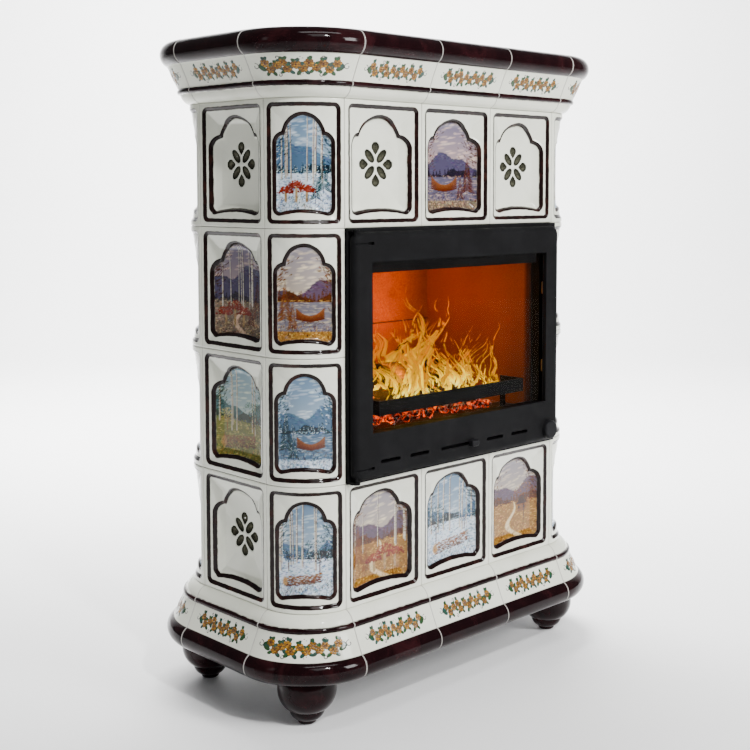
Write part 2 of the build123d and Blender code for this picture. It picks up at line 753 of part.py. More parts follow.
# ---- back panel, top plate, flue ----------------------------------------------------------------
BACK_FACE_Y = HALF_Y - BACK_INSET
BACK_H = ROWS * TILE_H - 2 * FRAME_GAP
BACK_W = 2 * HALF_FLAT_X - SEAM
BACK_MIDDLE_Z = TILES_Z + ROWS * TILE_H / 2
with BuildPart() as back_panel:
    with BuildSketch(front_plane(0, BACK_FACE_Y, BACK_MIDDLE_Z)):
        Rectangle(BACK_W, BACK_H)
    extrude(amount=BACK_FOLD)
    with BuildSketch(front_plane(0, BACK_FACE_Y - BACK_SHEET_T, BACK_MIDDLE_Z)):
        Rectangle(BACK_W - 2 * BACK_SHEET_T, BACK_H - 2 * BACK_SHEET_T)
    extrude(amount=BACK_FOLD, mode=Mode.SUBTRACT)
    with BuildSketch(front_plane(0, BACK_FACE_Y, 0)):
        for row in (0, TOP_ROW):
            with Locations((0, row_middle(row))):
                with GridLocations(
                    LOUVRE_COLUMN_PITCH, LOUVRE_PITCH, LOUVRE_COLUMNS, LOUVRE_ROWS
                ):
                    SlotOverall(LOUVRE_L, LOUVRE_W)
    extrude(amount=BACK_SHEET_T, mode=Mode.SUBTRACT)
write(back_panel.part, "back_panel")

with BuildPart() as top_plate:
    with BuildSketch(Plane.XY.offset(TOP_Z - TOP_PLATE_T)):
        ring_outline(TOP_PLATE_REACH)
        with Locations((0, FLUE_Y)):
            Circle(FLUE_R + SEAT_CLEARANCE, mode=Mode.SUBTRACT)
        with Locations((0, -HALF_FLAT_Y)):
            with GridLocations(TOP_SLOT_PITCH, 2 * TOP_SLOT_W, TOP_SLOTS_LONG, TOP_SLOTS_DEEP):
                SlotOverall(TOP_SLOT_L, TOP_SLOT_W, mode=Mode.SUBTRACT)
    extrude(amount=TOP_PLATE_T)
write(top_plate.part, "top_plate")

with BuildPart() as flue_pipe:
    with BuildSketch(Plane((0, FLUE_Y, SHELL_TOP_Z))):
        Circle(FLUE_R)
        Circle(FLUE_R - FLUE_WALL, mode=Mode.SUBTRACT)
    extrude(amount=TOP_Z + FLUE_STANDS_ABOVE - SHELL_TOP_Z)
write(flue_pipe.part, "flue_pipe")

with BuildPart() as flue_collar:
    with BuildSketch(Plane((0, FLUE_Y, TOP_Z))):
        Circle(FLUE_R + COLLAR_W)
        Circle(FLUE_R + SEAT_CLEARANCE / 2, mode=Mode.SUBTRACT)
    extrude(amount=TOP_PLATE_T)
    fillet(flue_collar.edges().group_by(Axis.Z)[-1].sort_by(SortBy.LENGTH)[-1], COLLAR_EDGE_R)
write(flue_collar.part, "flue_collar")

# ---- firebox ------------------------------------------------------------------------------------
DOME_FRONT = WELL_FRONT
DOME_FOOT_Z = DOOR_Z + DOOR_H - FRAME_STEP
with BuildPart() as firebox_shell:
    for front, top_z in ((SHELL_FRONT, DOME_FOOT_Z), (DOME_FRONT, SHELL_TOP_Z)):
        with BuildSketch(Plane((0, front, SHELL_FOOT_Z))):
            Rectangle(2 * SHELL_HALF_W, SHELL_REAR - front, align=(Align.CENTER, Align.MIN))
        extrude(amount=top_z - SHELL_FOOT_Z)
    for front, top_z in ((SHELL_FRONT, DOME_FOOT_Z), (DOME_FRONT, SHELL_TOP_Z)):
        with BuildSketch(Plane((0, front + SHELL_T, SHELL_FOOT_Z + SHELL_T))):
            Rectangle(
                2 * (SHELL_HALF_W - SHELL_T),
                SHELL_REAR - front - 2 * SHELL_T,
                align=(Align.CENTER, Align.MIN),
            )
        extrude(amount=top_z - SHELL_FOOT_Z - 2 * SHELL_T, mode=Mode.SUBTRACT)
    with BuildSketch(front_plane(0, SHELL_FRONT, DOOR_Z)):
        with Locations((0, (THROAT_FOOT + THROAT_TOP) / 2)):
            Rectangle(2 * THROAT_HALF_W, THROAT_TOP - THROAT_FOOT)
    extrude(amount=-SHELL_T, mode=Mode.SUBTRACT)
    with BuildSketch(Plane((0, FLUE_Y, SHELL_TOP_Z - SHELL_T))):
        Circle(FLUE_R - FLUE_WALL)
    extrude(amount=SHELL_T, mode=Mode.SUBTRACT)
    with BuildSketch(Plane((0, GRATE_Y, SHELL_FOOT_Z))):
        Rectangle(GRATE_W - 2 * GRATE_LEDGE, GRATE_D - 2 * GRATE_LEDGE)
    extrude(amount=SHELL_T, mode=Mode.SUBTRACT)
    with BuildSketch(front_plane(0, SHELL_FRONT, DOOR_Z)):
        with Locations(*SCREW_PLACES):
            Circle(SCREW_R)
    extrude(amount=-SHELL_T, mode=Mode.SUBTRACT)
write(firebox_shell.part, "firebox_shell")

# stand: four hollow square legs on the base plate, joined by two rails and a tie at the back
STAND_X = HALF_X - BASE_OPENING_END + STAND_LEG / 2
STAND_Y = HALF_Y - BASE_OPENING_SIDE + STAND_LEG / 2
TIE_FRONT = WELL_REAR + TIE_FROM_WELL
RAIL_FRONT = -STAND_Y - STAND_LEG / 2
with BuildPart() as firebox_stand:
    with BuildSketch(Plane.XY.offset(SHELL_FOOT_Z - STAND_T)):
        with GridLocations(2 * STAND_X, 2 * STAND_Y, 2, 2):
            Rectangle(STAND_LEG, STAND_LEG)
        with Locations((-STAND_X, RAIL_FRONT), (STAND_X, RAIL_FRONT)):
            Rectangle(
                STAND_LEG,
                TIE_FRONT + STAND_TIE_W - RAIL_FRONT,
                align=(Align.CENTER, Align.MIN),
            )
        with Locations((0, TIE_FRONT)):
            Rectangle(2 * STAND_X, STAND_TIE_W, align=(Align.CENTER, Align.MIN))
    extrude(amount=STAND_T)
    with BuildSketch(Plane.XY.offset(PLINTH_Z)):
        with GridLocations(2 * STAND_X, 2 * STAND_Y, 2, 2):
            Rectangle(STAND_LEG, STAND_LEG)
            Rectangle(STAND_LEG - 2 * STAND_T, STAND_LEG - 2 * STAND_T, mode=Mode.SUBTRACT)
    extrude(amount=SHELL_FOOT_Z - STAND_T - PLINTH_Z)
write(firebox_stand.part, "firebox_stand")

LINING_FLOOR_FOOT_Z = SHELL_FOOT_Z + SHELL_T
with BuildPart() as lining_floor:
    with BuildSketch(Plane((0, FIRE_FRONT, LINING_FLOOR_FOOT_Z))):
        Rectangle(2 * (FIRE_HALF_W + LINING_T), FIRE_DEPTH + LINING_T, align=(Align.CENTER, Align.MIN))
        with Locations((0, GRATE_Y - FIRE_FRONT)):
            Rectangle(
                GRATE_W - 2 * LINING_LEDGE, GRATE_D - 2 * LINING_LEDGE, mode=Mode.SUBTRACT
            )
    extrude(amount=LINING_T)
    with BuildSketch(Plane((0, GRATE_Y, FIRE_FLOOR_Z - GRATE_T))):
        Rectangle(GRATE_W + 2 * GRATE_GAP, GRATE_D + 2 * GRATE_GAP)
    extrude(amount=GRATE_T, mode=Mode.SUBTRACT)
write(lining_floor.part, "lining_floor")

with BuildPart() as grate:
    with BuildSketch(Plane((0, GRATE_Y, FIRE_FLOOR_Z - GRATE_T))):
        RectangleRounded(GRATE_W, GRATE_D, GRATE_CORNER_R)
        with GridLocations(2 * GRATE_SLOT_W, 0, GRATE_BARS - 1, 1):
            SlotOverall(GRATE_D - 2 * GRATE_SLOT_END, GRATE_SLOT_W, rotation=90, mode=Mode.SUBTRACT)
    extrude(amount=GRATE_T - GRATE_GAP)
write(grate.part, "grate")

for side, sign in (("left", -1), ("right", 1)):
    with BuildPart() as lining_side:
        with BuildSketch(Plane((sign * (FIRE_HALF_W + LINING_T / 2), FIRE_FRONT, FIRE_FLOOR_Z))):
            Rectangle(LINING_T, FIRE_DEPTH + LINING_T, align=(Align.CENTER, Align.MIN))
        extrude(amount=LINING_TOP_Z - FIRE_FLOOR_Z)
    write(lining_side.part, f"lining_{side}")

REAR_JOINT_Z = DOOR_Z + REAR_JOINT
with BuildPart() as lining_rear_lower:
    with BuildSketch(Plane((0, FIRE_REAR, FIRE_FLOOR_Z))):
        Rectangle(2 * FIRE_HALF_W - LINING_JOINT, LINING_T, align=(Align.CENTER, Align.MIN))
    extrude(amount=REAR_JOINT_Z - LINING_JOINT / 2 - FIRE_FLOOR_Z)
    with BuildSketch(front_plane(0, FIRE_REAR, DOOR_Z + AIR_HOLE_LEVEL)):
        with GridLocations(AIR_HOLE_PITCH, 0, AIR_HOLES, 1):
            Circle(AIR_HOLE_R)
    extrude(amount=-LINING_T, mode=Mode.SUBTRACT)
with BuildPart() as lining_rear_upper:
    with BuildSketch(Plane((0, FIRE_REAR, REAR_JOINT_Z + LINING_JOINT / 2))):
        Rectangle(2 * FIRE_HALF_W - LINING_JOINT, LINING_T, align=(Align.CENTER, Align.MIN))
    extrude(amount=LINING_TOP_Z - REAR_JOINT_Z - LINING_JOINT / 2)
write(Compound(children=[lining_rear_lower.part, lining_rear_upper.part]), "lining_rear")

with BuildPart() as baffle:
    with BuildSketch(Plane((0, FIRE_REAR + LINING_T, LINING_TOP_Z))):
        Rectangle(2 * (FIRE_HALF_W + LINING_T), BAFFLE_DEPTH, align=(Align.CENTER, Align.MAX))
    extrude(amount=BAFFLE_T)
write(baffle.part, "baffle")

# ---- air box and ash pan ------------------------------------------------------------------------
DUCT_HALF_W = SLOT_OFFSETS[-1] + SLOT_L + DUCT_BESIDE_SLOT
DUCT_FOOT_Z = SLOT_Z - SLOT_W - DUCT_BELOW_SLOT
with BuildPart() as air_box:
    with BuildSketch(Plane((0, SHELL_FRONT, DUCT_FOOT_Z))):
        Rectangle(2 * DUCT_HALF_W, WELL_FRONT - SHELL_FRONT + SHEET, align=(Align.CENTER, Align.MIN))
    extrude(amount=SHELL_FOOT_Z - DUCT_FOOT_Z)
    with BuildSketch(Plane((0, WELL_FRONT, WELL_FOOT_Z))):
        Rectangle(2 * ASH_WELL_HALF_W, WELL_REAR - WELL_FRONT, align=(Align.CENTER, Align.MIN))
    extrude(amount=SHELL_FOOT_Z - WELL_FOOT_Z)
    with BuildSketch(Plane((0, SHELL_FRONT, DUCT_FOOT_Z + SHEET))):
        Rectangle(
            2 * (DUCT_HALF_W - SHEET),
            WELL_FRONT - SHELL_FRONT,
            align=(Align.CENTER, Align.MIN),
        )
    extrude(amount=SHELL_FOOT_Z - DUCT_FOOT_Z - 2 * SHEET, mode=Mode.SUBTRACT)
    with BuildSketch(Plane((0, WELL_FRONT + SHEET, WELL_FOOT_Z + SHEET))):
        Rectangle(
            2 * (ASH_WELL_HALF_W - SHEET),
            WELL_REAR - WELL_FRONT - 2 * SHEET,
            align=(Align.CENTER, Align.MIN),
        )
    extrude(amount=SHELL_FOOT_Z - WELL_FOOT_Z - 2 * SHEET, mode=Mode.SUBTRACT)
    with BuildSketch(Plane((0, WELL_FRONT - SHEET, DUCT_FOOT_Z + SHEET))):
        Rectangle(2 * (ASH_WELL_HALF_W - SHEET), 3 * SHEET, align=(Align.CENTER, Align.MIN))
    extrude(amount=SHELL_FOOT_Z - DUCT_FOOT_Z - 2 * SHEET, mode=Mode.SUBTRACT)
    with BuildSketch(Plane((0, GRATE_Y, SHELL_FOOT_Z - SHEET))):
        Rectangle(GRATE_W - 2 * GRATE_LEDGE, GRATE_D - 2 * GRATE_LEDGE)
    extrude(amount=SHEET, mode=Mode.SUBTRACT)
write(air_box.part, "air_box")

# the ash pan is welded from five plates
PAN_HALF_W = ASH_WELL_HALF_W - PAN_GAP
PAN_LENGTH = WELL_REAR - WELL_FRONT - 2 * PAN_GAP
PAN_MIDDLE_Y = (WELL_FRONT + WELL_REAR) / 2
PAN_FOOT_Z = WELL_FOOT_Z + SHEET
ON_FOOT = (Align.CENTER, Align.CENTER, Align.MIN)
with BuildPart() as pan_floor:
    with Locations((0, PAN_MIDDLE_Y, PAN_FOOT_Z)):
        Box(2 * PAN_HALF_W, PAN_LENGTH, SHEET, align=ON_FOOT)
pan_plates = [pan_floor.part]
for sign in (-1, 1):
    with BuildPart() as pan_end:
        with Locations((0, PAN_MIDDLE_Y + sign * (PAN_LENGTH - SHEET) / 2, PAN_FOOT_Z + SHEET)):
            Box(2 * PAN_HALF_W, SHEET, ASH_PAN_H - SHEET, align=ON_FOOT)
    with BuildPart() as pan_side:
        with Locations((sign * (PAN_HALF_W - SHEET / 2), PAN_MIDDLE_Y, PAN_FOOT_Z + SHEET)):
            Box(SHEET, PAN_LENGTH - 2 * SHEET, ASH_PAN_H - SHEET, align=ON_FOOT)
    pan_plates += [pan_end.part, pan_side.part]
write(Compound(children=pan_plates), "ash_pan")

# ---- door frame ---------------------------------------------------------------------------------
LUG_LEVELS = (FRAME_GAP, DOOR_H - FRAME_GAP - LUG_T)


def door_sketch_rectangle(half_w, foot, top, mode=Mode.ADD):
    """A rectangle about the middle of the door, between two levels above the door's foot."""
    with Locations((0, (foot + top) / 2)):
        Rectangle(2 * half_w, top - foot, mode=mode)


# the frame is a pierced plate with four bars and two hinge lugs welded to it
FRAME_HALF_W = HALF_FLAT_X - FRAME_GAP
with BuildPart() as screw_ways:
    with BuildSketch(front_plane(0, FRAME_FRONT, DOOR_Z)):
        with Locations(*SCREW_PLACES):
            Circle(SCREW_R)
    extrude(amount=-(FRAME_PROUD + FRAME_BACK))
    with BuildSketch(front_plane(0, FRAME_FRONT, DOOR_Z)):
        with Locations(*SCREW_PLACES):
            Circle(SCREW_HEAD_R + SEAT_CLEARANCE)
    extrude(amount=-(RELIEF_DEPTH + SCREW_HEAD_H + SEAT_CLEARANCE))

with BuildPart() as frame_plate:
    with BuildSketch(front_plane(0, RECESS_FLOOR, DOOR_Z)):
        door_sketch_rectangle(FRAME_HALF_W, FRAME_GAP, DOOR_H - FRAME_GAP)
    extrude(amount=FRAME_RECESS - FRAME_PROUD)
    with BuildSketch(front_plane(0, FRONT_Y, DOOR_Z)):
        door_sketch_rectangle(SHELL_HALF_W, FRAME_STEP, DOOR_H - FRAME_STEP)
    extrude(amount=-FRAME_BACK)
    with BuildSketch(front_plane(0, FRAME_FRONT, DOOR_Z)):
        door_sketch_rectangle(THROAT_HALF_W, THROAT_FOOT, THROAT_TOP)
        with Locations((SLOT_MIDDLE, SLOT_LEVEL)):
            SlotOverall(2 * SLOT_OFFSETS[-1] + SLOT_L, SLOT_W + 2 * FRAME_SLOT_MARGIN)
    extrude(amount=-(FRAME_PROUD + FRAME_BACK), mode=Mode.SUBTRACT)
    add(screw_ways.part, mode=Mode.SUBTRACT)

SIDE_BAR_SPAN = (FRAME_FOOT_LAND, DOOR_H - FRAME_TOP_LAND)
FRAME_BARS = (
    ((-FRAME_HALF_W, -RECESS_HALF_W), SIDE_BAR_SPAN),
    ((RECESS_HALF_W, FRAME_HALF_W), SIDE_BAR_SPAN),
    ((-FRAME_HALF_W, FRAME_HALF_W), (FRAME_GAP, FRAME_FOOT_LAND)),
    ((-FRAME_HALF_W, FRAME_HALF_W), (DOOR_H - FRAME_TOP_LAND, DOOR_H - FRAME_GAP)),
)
frame_pieces = [frame_plate.part]
for (bar_left, bar_right), (bar_foot, bar_top) in FRAME_BARS:
    with BuildPart() as frame_bar:
        with BuildSketch(front_plane(bar_left, FRAME_FRONT, DOOR_Z + bar_foot)):
            Rectangle(bar_right - bar_left, bar_top - bar_foot, align=Align.MIN)
        extrude(amount=-FRAME_RECESS)
        with BuildSketch(front_plane(-HALF_FLAT_X, FRAME_FRONT, DOOR_Z)):
            with Locations((0, LUG_LEVELS[0] + LUG_T)):
                Rectangle(RELIEF_W, LUG_LEVELS[1] - LUG_LEVELS[0] - LUG_T, align=Align.MIN)
        extrude(amount=-RELIEF_DEPTH, mode=Mode.SUBTRACT)
        add(screw_ways.part, mode=Mode.SUBTRACT)
    frame_pieces.append(frame_bar.part)

for level in LUG_LEVELS:
    with BuildPart() as frame_lug:
        with BuildSketch(Plane((HINGE_X, HINGE_Y, DOOR_Z + level))):
            Circle(LUG_R)
            with Locations((-FRAME_HALF_W - HINGE_X, FRAME_FRONT - HINGE_Y)):
                Rectangle(
                    HINGE_X + FRAME_HALF_W + LUG_R,
                    FRAME_FRONT - HINGE_Y,
                    align=(Align.MIN, Align.MAX),
                )
            Circle(PIN_R, mode=Mode.SUBTRACT)
        extrude(amount=LUG_T)
    frame_pieces.append(frame_lug.part)
write(Compound(children=frame_pieces), "door_frame")

with BuildPart() as hinge_pins:
    for level in (FRAME_GAP, DOOR_H - FRAME_GAP - PIN_L):
        with BuildSketch(Plane((HINGE_X, HINGE_Y, DOOR_Z + level))):
            Circle(PIN_R)
        extrude(amount=PIN_L)
write(hinge_pins.part, "hinge_pins")

SCREW_HEAD_FRONT = FRAME_FRONT + RELIEF_DEPTH + SEAT_CLEARANCE
with BuildPart() as frame_screws:
    with BuildSketch(front_plane(0, SCREW_HEAD_FRONT, DOOR_Z)):
        with Locations(*SCREW_PLACES):
            RegularPolygon(SCREW_HEAD_R, 6)
    extrude(amount=-SCREW_HEAD_H)
    with BuildSketch(front_plane(0, SCREW_HEAD_FRONT + SCREW_HEAD_H, DOOR_Z)):
        with Locations(*SCREW_PLACES):
            Circle(SCREW_R)
    extrude(amount=SCREW_HEAD_FRONT + SCREW_HEAD_H - SHELL_FRONT - SHELL_T)
write(frame_screws.part, "frame_screws")

# keeper: a lip that the turned cam lies behind, on a foot clear of the cam's tip
CAM_REACH = math.hypot(CAM_L, CAM_W / 2)
KEEPER_LIP_X = KNOB_X - CAM_W / 2 - KEEPER_FROM_CAM
KEEPER_FOOT_X = KNOB_X - CAM_REACH - KEEPER_FROM_CAM
with BuildPart() as latch_keeper:
    with BuildSketch(front_plane(KEEPER_LIP_X, FRAME_FRONT, DOOR_Z + KNOB_Z)):
        Rectangle(
            KEEPER_LIP_X - KEEPER_FOOT_X + KEEPER_FOOT_L,
            KEEPER_H,
            align=(Align.MAX, Align.CENTER),
        )
    extrude(amount=-KEEPER_T)
    with BuildSketch(front_plane(KEEPER_FOOT_X, FRAME_FRONT, DOOR_Z + KNOB_Z)):
        Rectangle(KEEPER_FOOT_L, KEEPER_H, align=(Align.MAX, Align.CENTER))
    extrude(amount=-FRAME_RECESS)
write(latch_keeper.part, "latch_keeper")

DEFLECTOR_FRONT = FRONT_Y + DEFLECTOR_SETBACK
DEFLECTOR_HALF_W = THROAT_HALF_W - DEFLECTOR_FROM_SIDE
with BuildPart() as air_deflector:
    with BuildSketch(front_plane(0, DEFLECTOR_FRONT, DOOR_Z)):
        door_sketch_rectangle(DEFLECTOR_HALF_W, THROAT_TOP - DEFLECTOR_H, THROAT_TOP)
    extrude(amount=-DEFLECTOR_T)
    with BuildSketch(front_plane(0, DEFLECTOR_FRONT, DOOR_Z)):
        door_sketch_rectangle(DEFLECTOR_HALF_W, THROAT_TOP - DEFLECTOR_T, THROAT_TOP)
    extrude(amount=-DEFLECTOR_LEDGE)
write(air_deflector.part, "air_deflector")

BAR_FRONT = FRONT_Y + BAR_SETBACK
BAR_HALF_L = FIRE_HALF_W - BAR_FROM_WALL
with BuildPart() as log_bar:
    with BuildSketch(front_plane(0, BAR_FRONT, DOOR_Z)):
        door_sketch_rectangle(BAR_HALF_L, BAR_FOOT, BAR_FOOT + BAR_H)
    extrude(amount=-BAR_LEG)
    with BuildSketch(front_plane(0, BAR_FRONT + BAR_T, DOOR_Z)):
        door_sketch_rectangle(BAR_HALF_L - BAR_T, BAR_FOOT, BAR_FOOT + BAR_H)
    extrude(amount=-BAR_LEG, mode=Mode.SUBTRACT)
    for sign in (-1, 1):
        with BuildSketch(Plane((sign * (BAR_HALF_L - BAR_T / 2), BAR_FRONT + BAR_LEG, FIRE_FLOOR_Z))):
            Rectangle(BAR_T, BAR_FOOT_L, align=(Align.CENTER, Align.MAX))
        extrude(amount=DOOR_Z + BAR_FOOT - FIRE_FLOOR_Z)
write(log_bar.part, "log_bar")

# ---- door leaf and what it carries --------------------------------------------------------------
BORE_R = PIN_R + PIN_CLEARANCE
GASKET_IN = PANE_HALF_W + GASKET_FROM_PANE
GASKET_GROW = PANE_LAP + GASKET_FROM_PANE
LEAF_END_LEVELS = (LEAF_FOOT + SLIT_FROM_END, LEAF_HEAD - SLIT_FROM_END)
PIN_BORE_L = PIN_L - LUG_T + PIN_END_GAP


def gasket_ring(width):
    """The rope's rectangular run round the pane, width across the rope."""
    inner_foot = PANE_OPENING_FOOT - GASKET_GROW
    inner_top = PANE_OPENING_TOP + GASKET_GROW
    door_sketch_rectangle(GASKET_IN + width, inner_foot - width, inner_top + width)
    door_sketch_rectangle(GASKET_IN, inner_foot, inner_top, mode=Mode.SUBTRACT)


with BuildPart() as door_leaf:
    with BuildSketch(front_plane(0, LEAF_BACK, DOOR_Z)):
        with Locations((0, (LEAF_FOOT + LEAF_HEAD) / 2)):
            RectangleRounded(2 * LEAF_HALF_W, LEAF_HEAD - LEAF_FOOT, LEAF_CORNER_R)
    extrude(amount=LEAF_T)
    fillet(door_leaf.faces().sort_by(Axis.Y)[0].edges(), LEAF_EDGE_R)
    with BuildSketch(front_plane(0, LEAF_FRONT, DOOR_Z)):
        door_sketch_rectangle(PANE_OPENING_HALF_W, PANE_OPENING_FOOT, PANE_OPENING_TOP)
        for offset_x in SLOT_OFFSETS:
            for sign in (-1, 1):
                with Locations((SLOT_MIDDLE + sign * offset_x, SLOT_LEVEL)):
                    SlotOverall(SLOT_L, SLOT_W)
        with Locations((SLOT_MIDDLE, SLOT_LEVEL)):
            SlotOverall(LONG_SLOT_L, SLOT_W)
        with Locations((KNOB_X, KNOB_Z)):
            Circle(SPINDLE_R + PIN_CLEARANCE)
    extrude(amount=-LEAF_T, mode=Mode.SUBTRACT)
    with BuildSketch(front_plane(0, LEAF_BACK, DOOR_Z)):
        door_sketch_rectangle(
            PANE_HALF_W + PANE_CLEARANCE, PANE_FOOT - PANE_CLEARANCE, PANE_TOP + PANE_CLEARANCE
        )
    extrude(amount=PANE_T + 2 * PANE_CLEARANCE, mode=Mode.SUBTRACT)
    with BuildSketch(front_plane(0, LEAF_BACK, DOOR_Z)):
        gasket_ring(GASKET_W)
    extrude(amount=GASKET_GROOVE, mode=Mode.SUBTRACT)
    with BuildSketch(front_plane(-HALF_FLAT_X, LEAF_FRONT, DOOR_Z)):
        for level in LEAF_END_LEVELS:
            with Locations((0, level)):
                Rectangle(STILE_W, SLIT_W, align=(Align.MIN, Align.CENTER))
    extrude(amount=-SLIT_DEPTH, mode=Mode.SUBTRACT)
    with BuildSketch(front_plane(NOTCH_OVER_PANE - PANE_OPENING_HALF_W, LEAF_FRONT, DOOR_Z)):
        for level in LEAF_END_LEVELS:
            with Locations((0, level)):
                Rectangle(NOTCH_L, NOTCH_W, align=(Align.MAX, Align.CENTER))
    extrude(amount=-2 * SLIT_DEPTH, mode=Mode.SUBTRACT)
    for level, depth in ((LEAF_FOOT, PIN_BORE_L), (LEAF_HEAD, -PIN_BORE_L)):
        with BuildSketch(Plane((HINGE_X, HINGE_Y, DOOR_Z + level))):
            Circle(BORE_R)
        extrude(amount=depth, mode=Mode.SUBTRACT)
write(door_leaf.part, "door_leaf")

with BuildPart() as door_glass:
    with BuildSketch(front_plane(0, LEAF_BACK - PANE_CLEARANCE, DOOR_Z)):
        door_sketch_rectangle(PANE_HALF_W, PANE_FOOT, PANE_TOP)
    extrude(amount=PANE_T)
write(door_glass.part, "door_glass")

PANE_MIDDLE = (PANE_FOOT + PANE_TOP) / 2
with BuildPart() as glass_clips:
    with BuildSketch(front_plane(0, LEAF_BACK, DOOR_Z)):
        with Locations((0, PANE_MIDDLE)):
            with GridLocations(2 * PANE_HALF_W, (PANE_TOP - PANE_FOOT) / 2, 2, 2):
                Rectangle(CLIP_W, CLIP_L)
            with GridLocations(PANE_HALF_W, PANE_TOP - PANE_FOOT, 2, 2):
                Rectangle(CLIP_L, CLIP_W)
    extrude(amount=-CLIP_T)
write(glass_clips.part, "glass_clips")

with BuildPart() as door_gasket:
    with BuildSketch(front_plane(0, LEAF_BACK - GASKET_GROOVE, DOOR_Z)):
        gasket_ring(GASKET_W)
    extrude(amount=LEAF_BACK - GASKET_GROOVE - RECESS_FLOOR + LEAF_GAP)
write(door_gasket.part, "door_gasket")

SLIDE_HALF_L = SLOT_OFFSETS[0] + SLOT_L / 2 + SLIDE_END_MARGIN
with BuildPart() as slide_rails:
    rail_foot = SLOT_LEVEL - SLIDE_H / 2 - RUNNING_GAP
    rail_head = SLOT_LEVEL + SLIDE_H / 2 + RUNNING_GAP
    for edge, out in ((rail_foot, -1), (rail_head, 1)):
        for front, thickness, lip in (
            (LEAF_BACK, SLIDE_T + 2 * RUNNING_GAP, 0),
            (LEAF_BACK + SLIDE_T + 2 * RUNNING_GAP, RAIL_T, RAIL_LIP),
        ):
            with BuildSketch(front_plane(SLOT_MIDDLE - SLIDE_TRAVEL / 2, front, DOOR_Z + edge)):
                with Locations((0, -out * lip)):
                    Rectangle(
                        2 * SLIDE_HALF_L + SLIDE_TRAVEL,
                        RAIL_LIP + lip,
                        align=(Align.CENTER, Align.MIN if out > 0 else Align.MAX),
                    )
            extrude(amount=-thickness)
write(slide_rails.part, "slide_rails")

LEVER_X = SLOT_MIDDLE + LONG_SLOT_L / 2 - LEVER_W / 2
with BuildPart() as air_slide:
    with BuildSketch(front_plane(SLOT_MIDDLE, LEAF_BACK + RUNNING_GAP, DOOR_Z + SLOT_LEVEL)):
        Rectangle(2 * SLIDE_HALF_L, SLIDE_H)
        with GridLocations(2 * SLOT_OFFSETS[0], 0, 2, 1):
            SlotOverall(SLOT_L, SLOT_W, mode=Mode.SUBTRACT)
    extrude(amount=-SLIDE_T)
    with BuildSketch(front_plane(LEVER_X, LEAF_BACK + RUNNING_GAP, DOOR_Z + SLOT_LEVEL)):
        Rectangle(LEVER_NECK_L, LEVER_NECK)
    extrude(amount=LEAF_T + 3 * RUNNING_GAP + LEVER_PROUD / 2)
    with BuildSketch(front_plane(LEVER_X, LEAF_FRONT - 2 * RUNNING_GAP, DOOR_Z + SLOT_LEVEL)):
        RectangleRounded(LEVER_W, LEVER_H, LEVER_CORNER_R)
    extrude(amount=LEVER_PROUD)
    fillet(air_slide.faces().sort_by(Axis.Y)[0].edges(), LEVER_EDGE_R)
write(air_slide.part, "air_slide")

CAM_BACK = RECESS_FLOOR - CAM_FLOOR_GAP
with BuildPart() as latch_knob:
    with BuildSketch(front_plane(KNOB_X, LEAF_FRONT - LEAF_GAP, DOOR_Z + KNOB_Z)):
        Circle(KNOB_R)
    extrude(amount=KNOB_T)
    fillet(latch_knob.faces().sort_by(Axis.Y)[0].edges(), KNOB_EDGE_R)
    with BuildSketch(front_plane(KNOB_X, LEAF_FRONT - LEAF_GAP, DOOR_Z + KNOB_Z)):
        Circle(SPINDLE_R)
    extrude(amount=LEAF_FRONT - LEAF_GAP - CAM_BACK)
with BuildPart() as latch_cam:
    with BuildSketch(front_plane(KNOB_X, CAM_BACK, DOOR_Z + KNOB_Z)):
        Circle(CAM_W / 2)
        Rectangle(CAM_W, CAM_L, align=(Align.CENTER, Align.MIN))
        Circle(SPINDLE_R, mode=Mode.SUBTRACT)
    extrude(amount=CAM_T)
write(Compound(children=[latch_knob.part, latch_cam.part]), "door_latch")
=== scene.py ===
"""Looks of the tiled wood stove: glazed tiles and mouldings, painted niches, the door and its fire.

Metres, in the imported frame: origin on the floor, +Z up, the door faces -Y.
"""

import json
import random
from math import acos, atan2, cos, exp, hypot, pi, radians, sin, sqrt

import bpy
import numpy as np
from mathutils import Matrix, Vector, noise


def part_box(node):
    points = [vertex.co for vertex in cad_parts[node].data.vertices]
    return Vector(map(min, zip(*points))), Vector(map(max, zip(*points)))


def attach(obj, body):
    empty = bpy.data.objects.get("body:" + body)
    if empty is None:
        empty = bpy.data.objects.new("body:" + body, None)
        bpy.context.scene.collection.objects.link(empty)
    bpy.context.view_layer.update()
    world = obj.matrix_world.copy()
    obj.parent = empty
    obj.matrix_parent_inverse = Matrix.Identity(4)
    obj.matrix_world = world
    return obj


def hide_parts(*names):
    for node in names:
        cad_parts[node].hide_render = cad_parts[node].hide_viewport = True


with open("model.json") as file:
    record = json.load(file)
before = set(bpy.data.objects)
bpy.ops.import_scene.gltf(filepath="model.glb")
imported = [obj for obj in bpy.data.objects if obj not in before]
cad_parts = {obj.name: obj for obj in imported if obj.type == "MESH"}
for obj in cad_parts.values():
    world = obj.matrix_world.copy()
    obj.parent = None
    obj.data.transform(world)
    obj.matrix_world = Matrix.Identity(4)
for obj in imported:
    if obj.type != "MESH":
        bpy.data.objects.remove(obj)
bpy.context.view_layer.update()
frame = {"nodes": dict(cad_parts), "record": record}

# ---- sizes ----
MM = 0.001
GRID = 1.3 * MM  # between the points of a tile's relief
ROWS = 4
PLATE_T = 26 * MM
OUTER_ROUND = 1.6 * MM
RIM_W = 8.3 * MM
RIM_CORNER_R = 13 * MM
LINE_W = 8 * MM
LINE_DROP = 4 * MM
FLAT_SLOPE = 0.42
CORNER_SLOPE = 0.14
SLOPE_REACH = 26 * MM
NICHE_LINE_W = 4.2 * MM
NICHE_LINE_OUT = 4 * MM
NICHE_DROP = 4 * MM
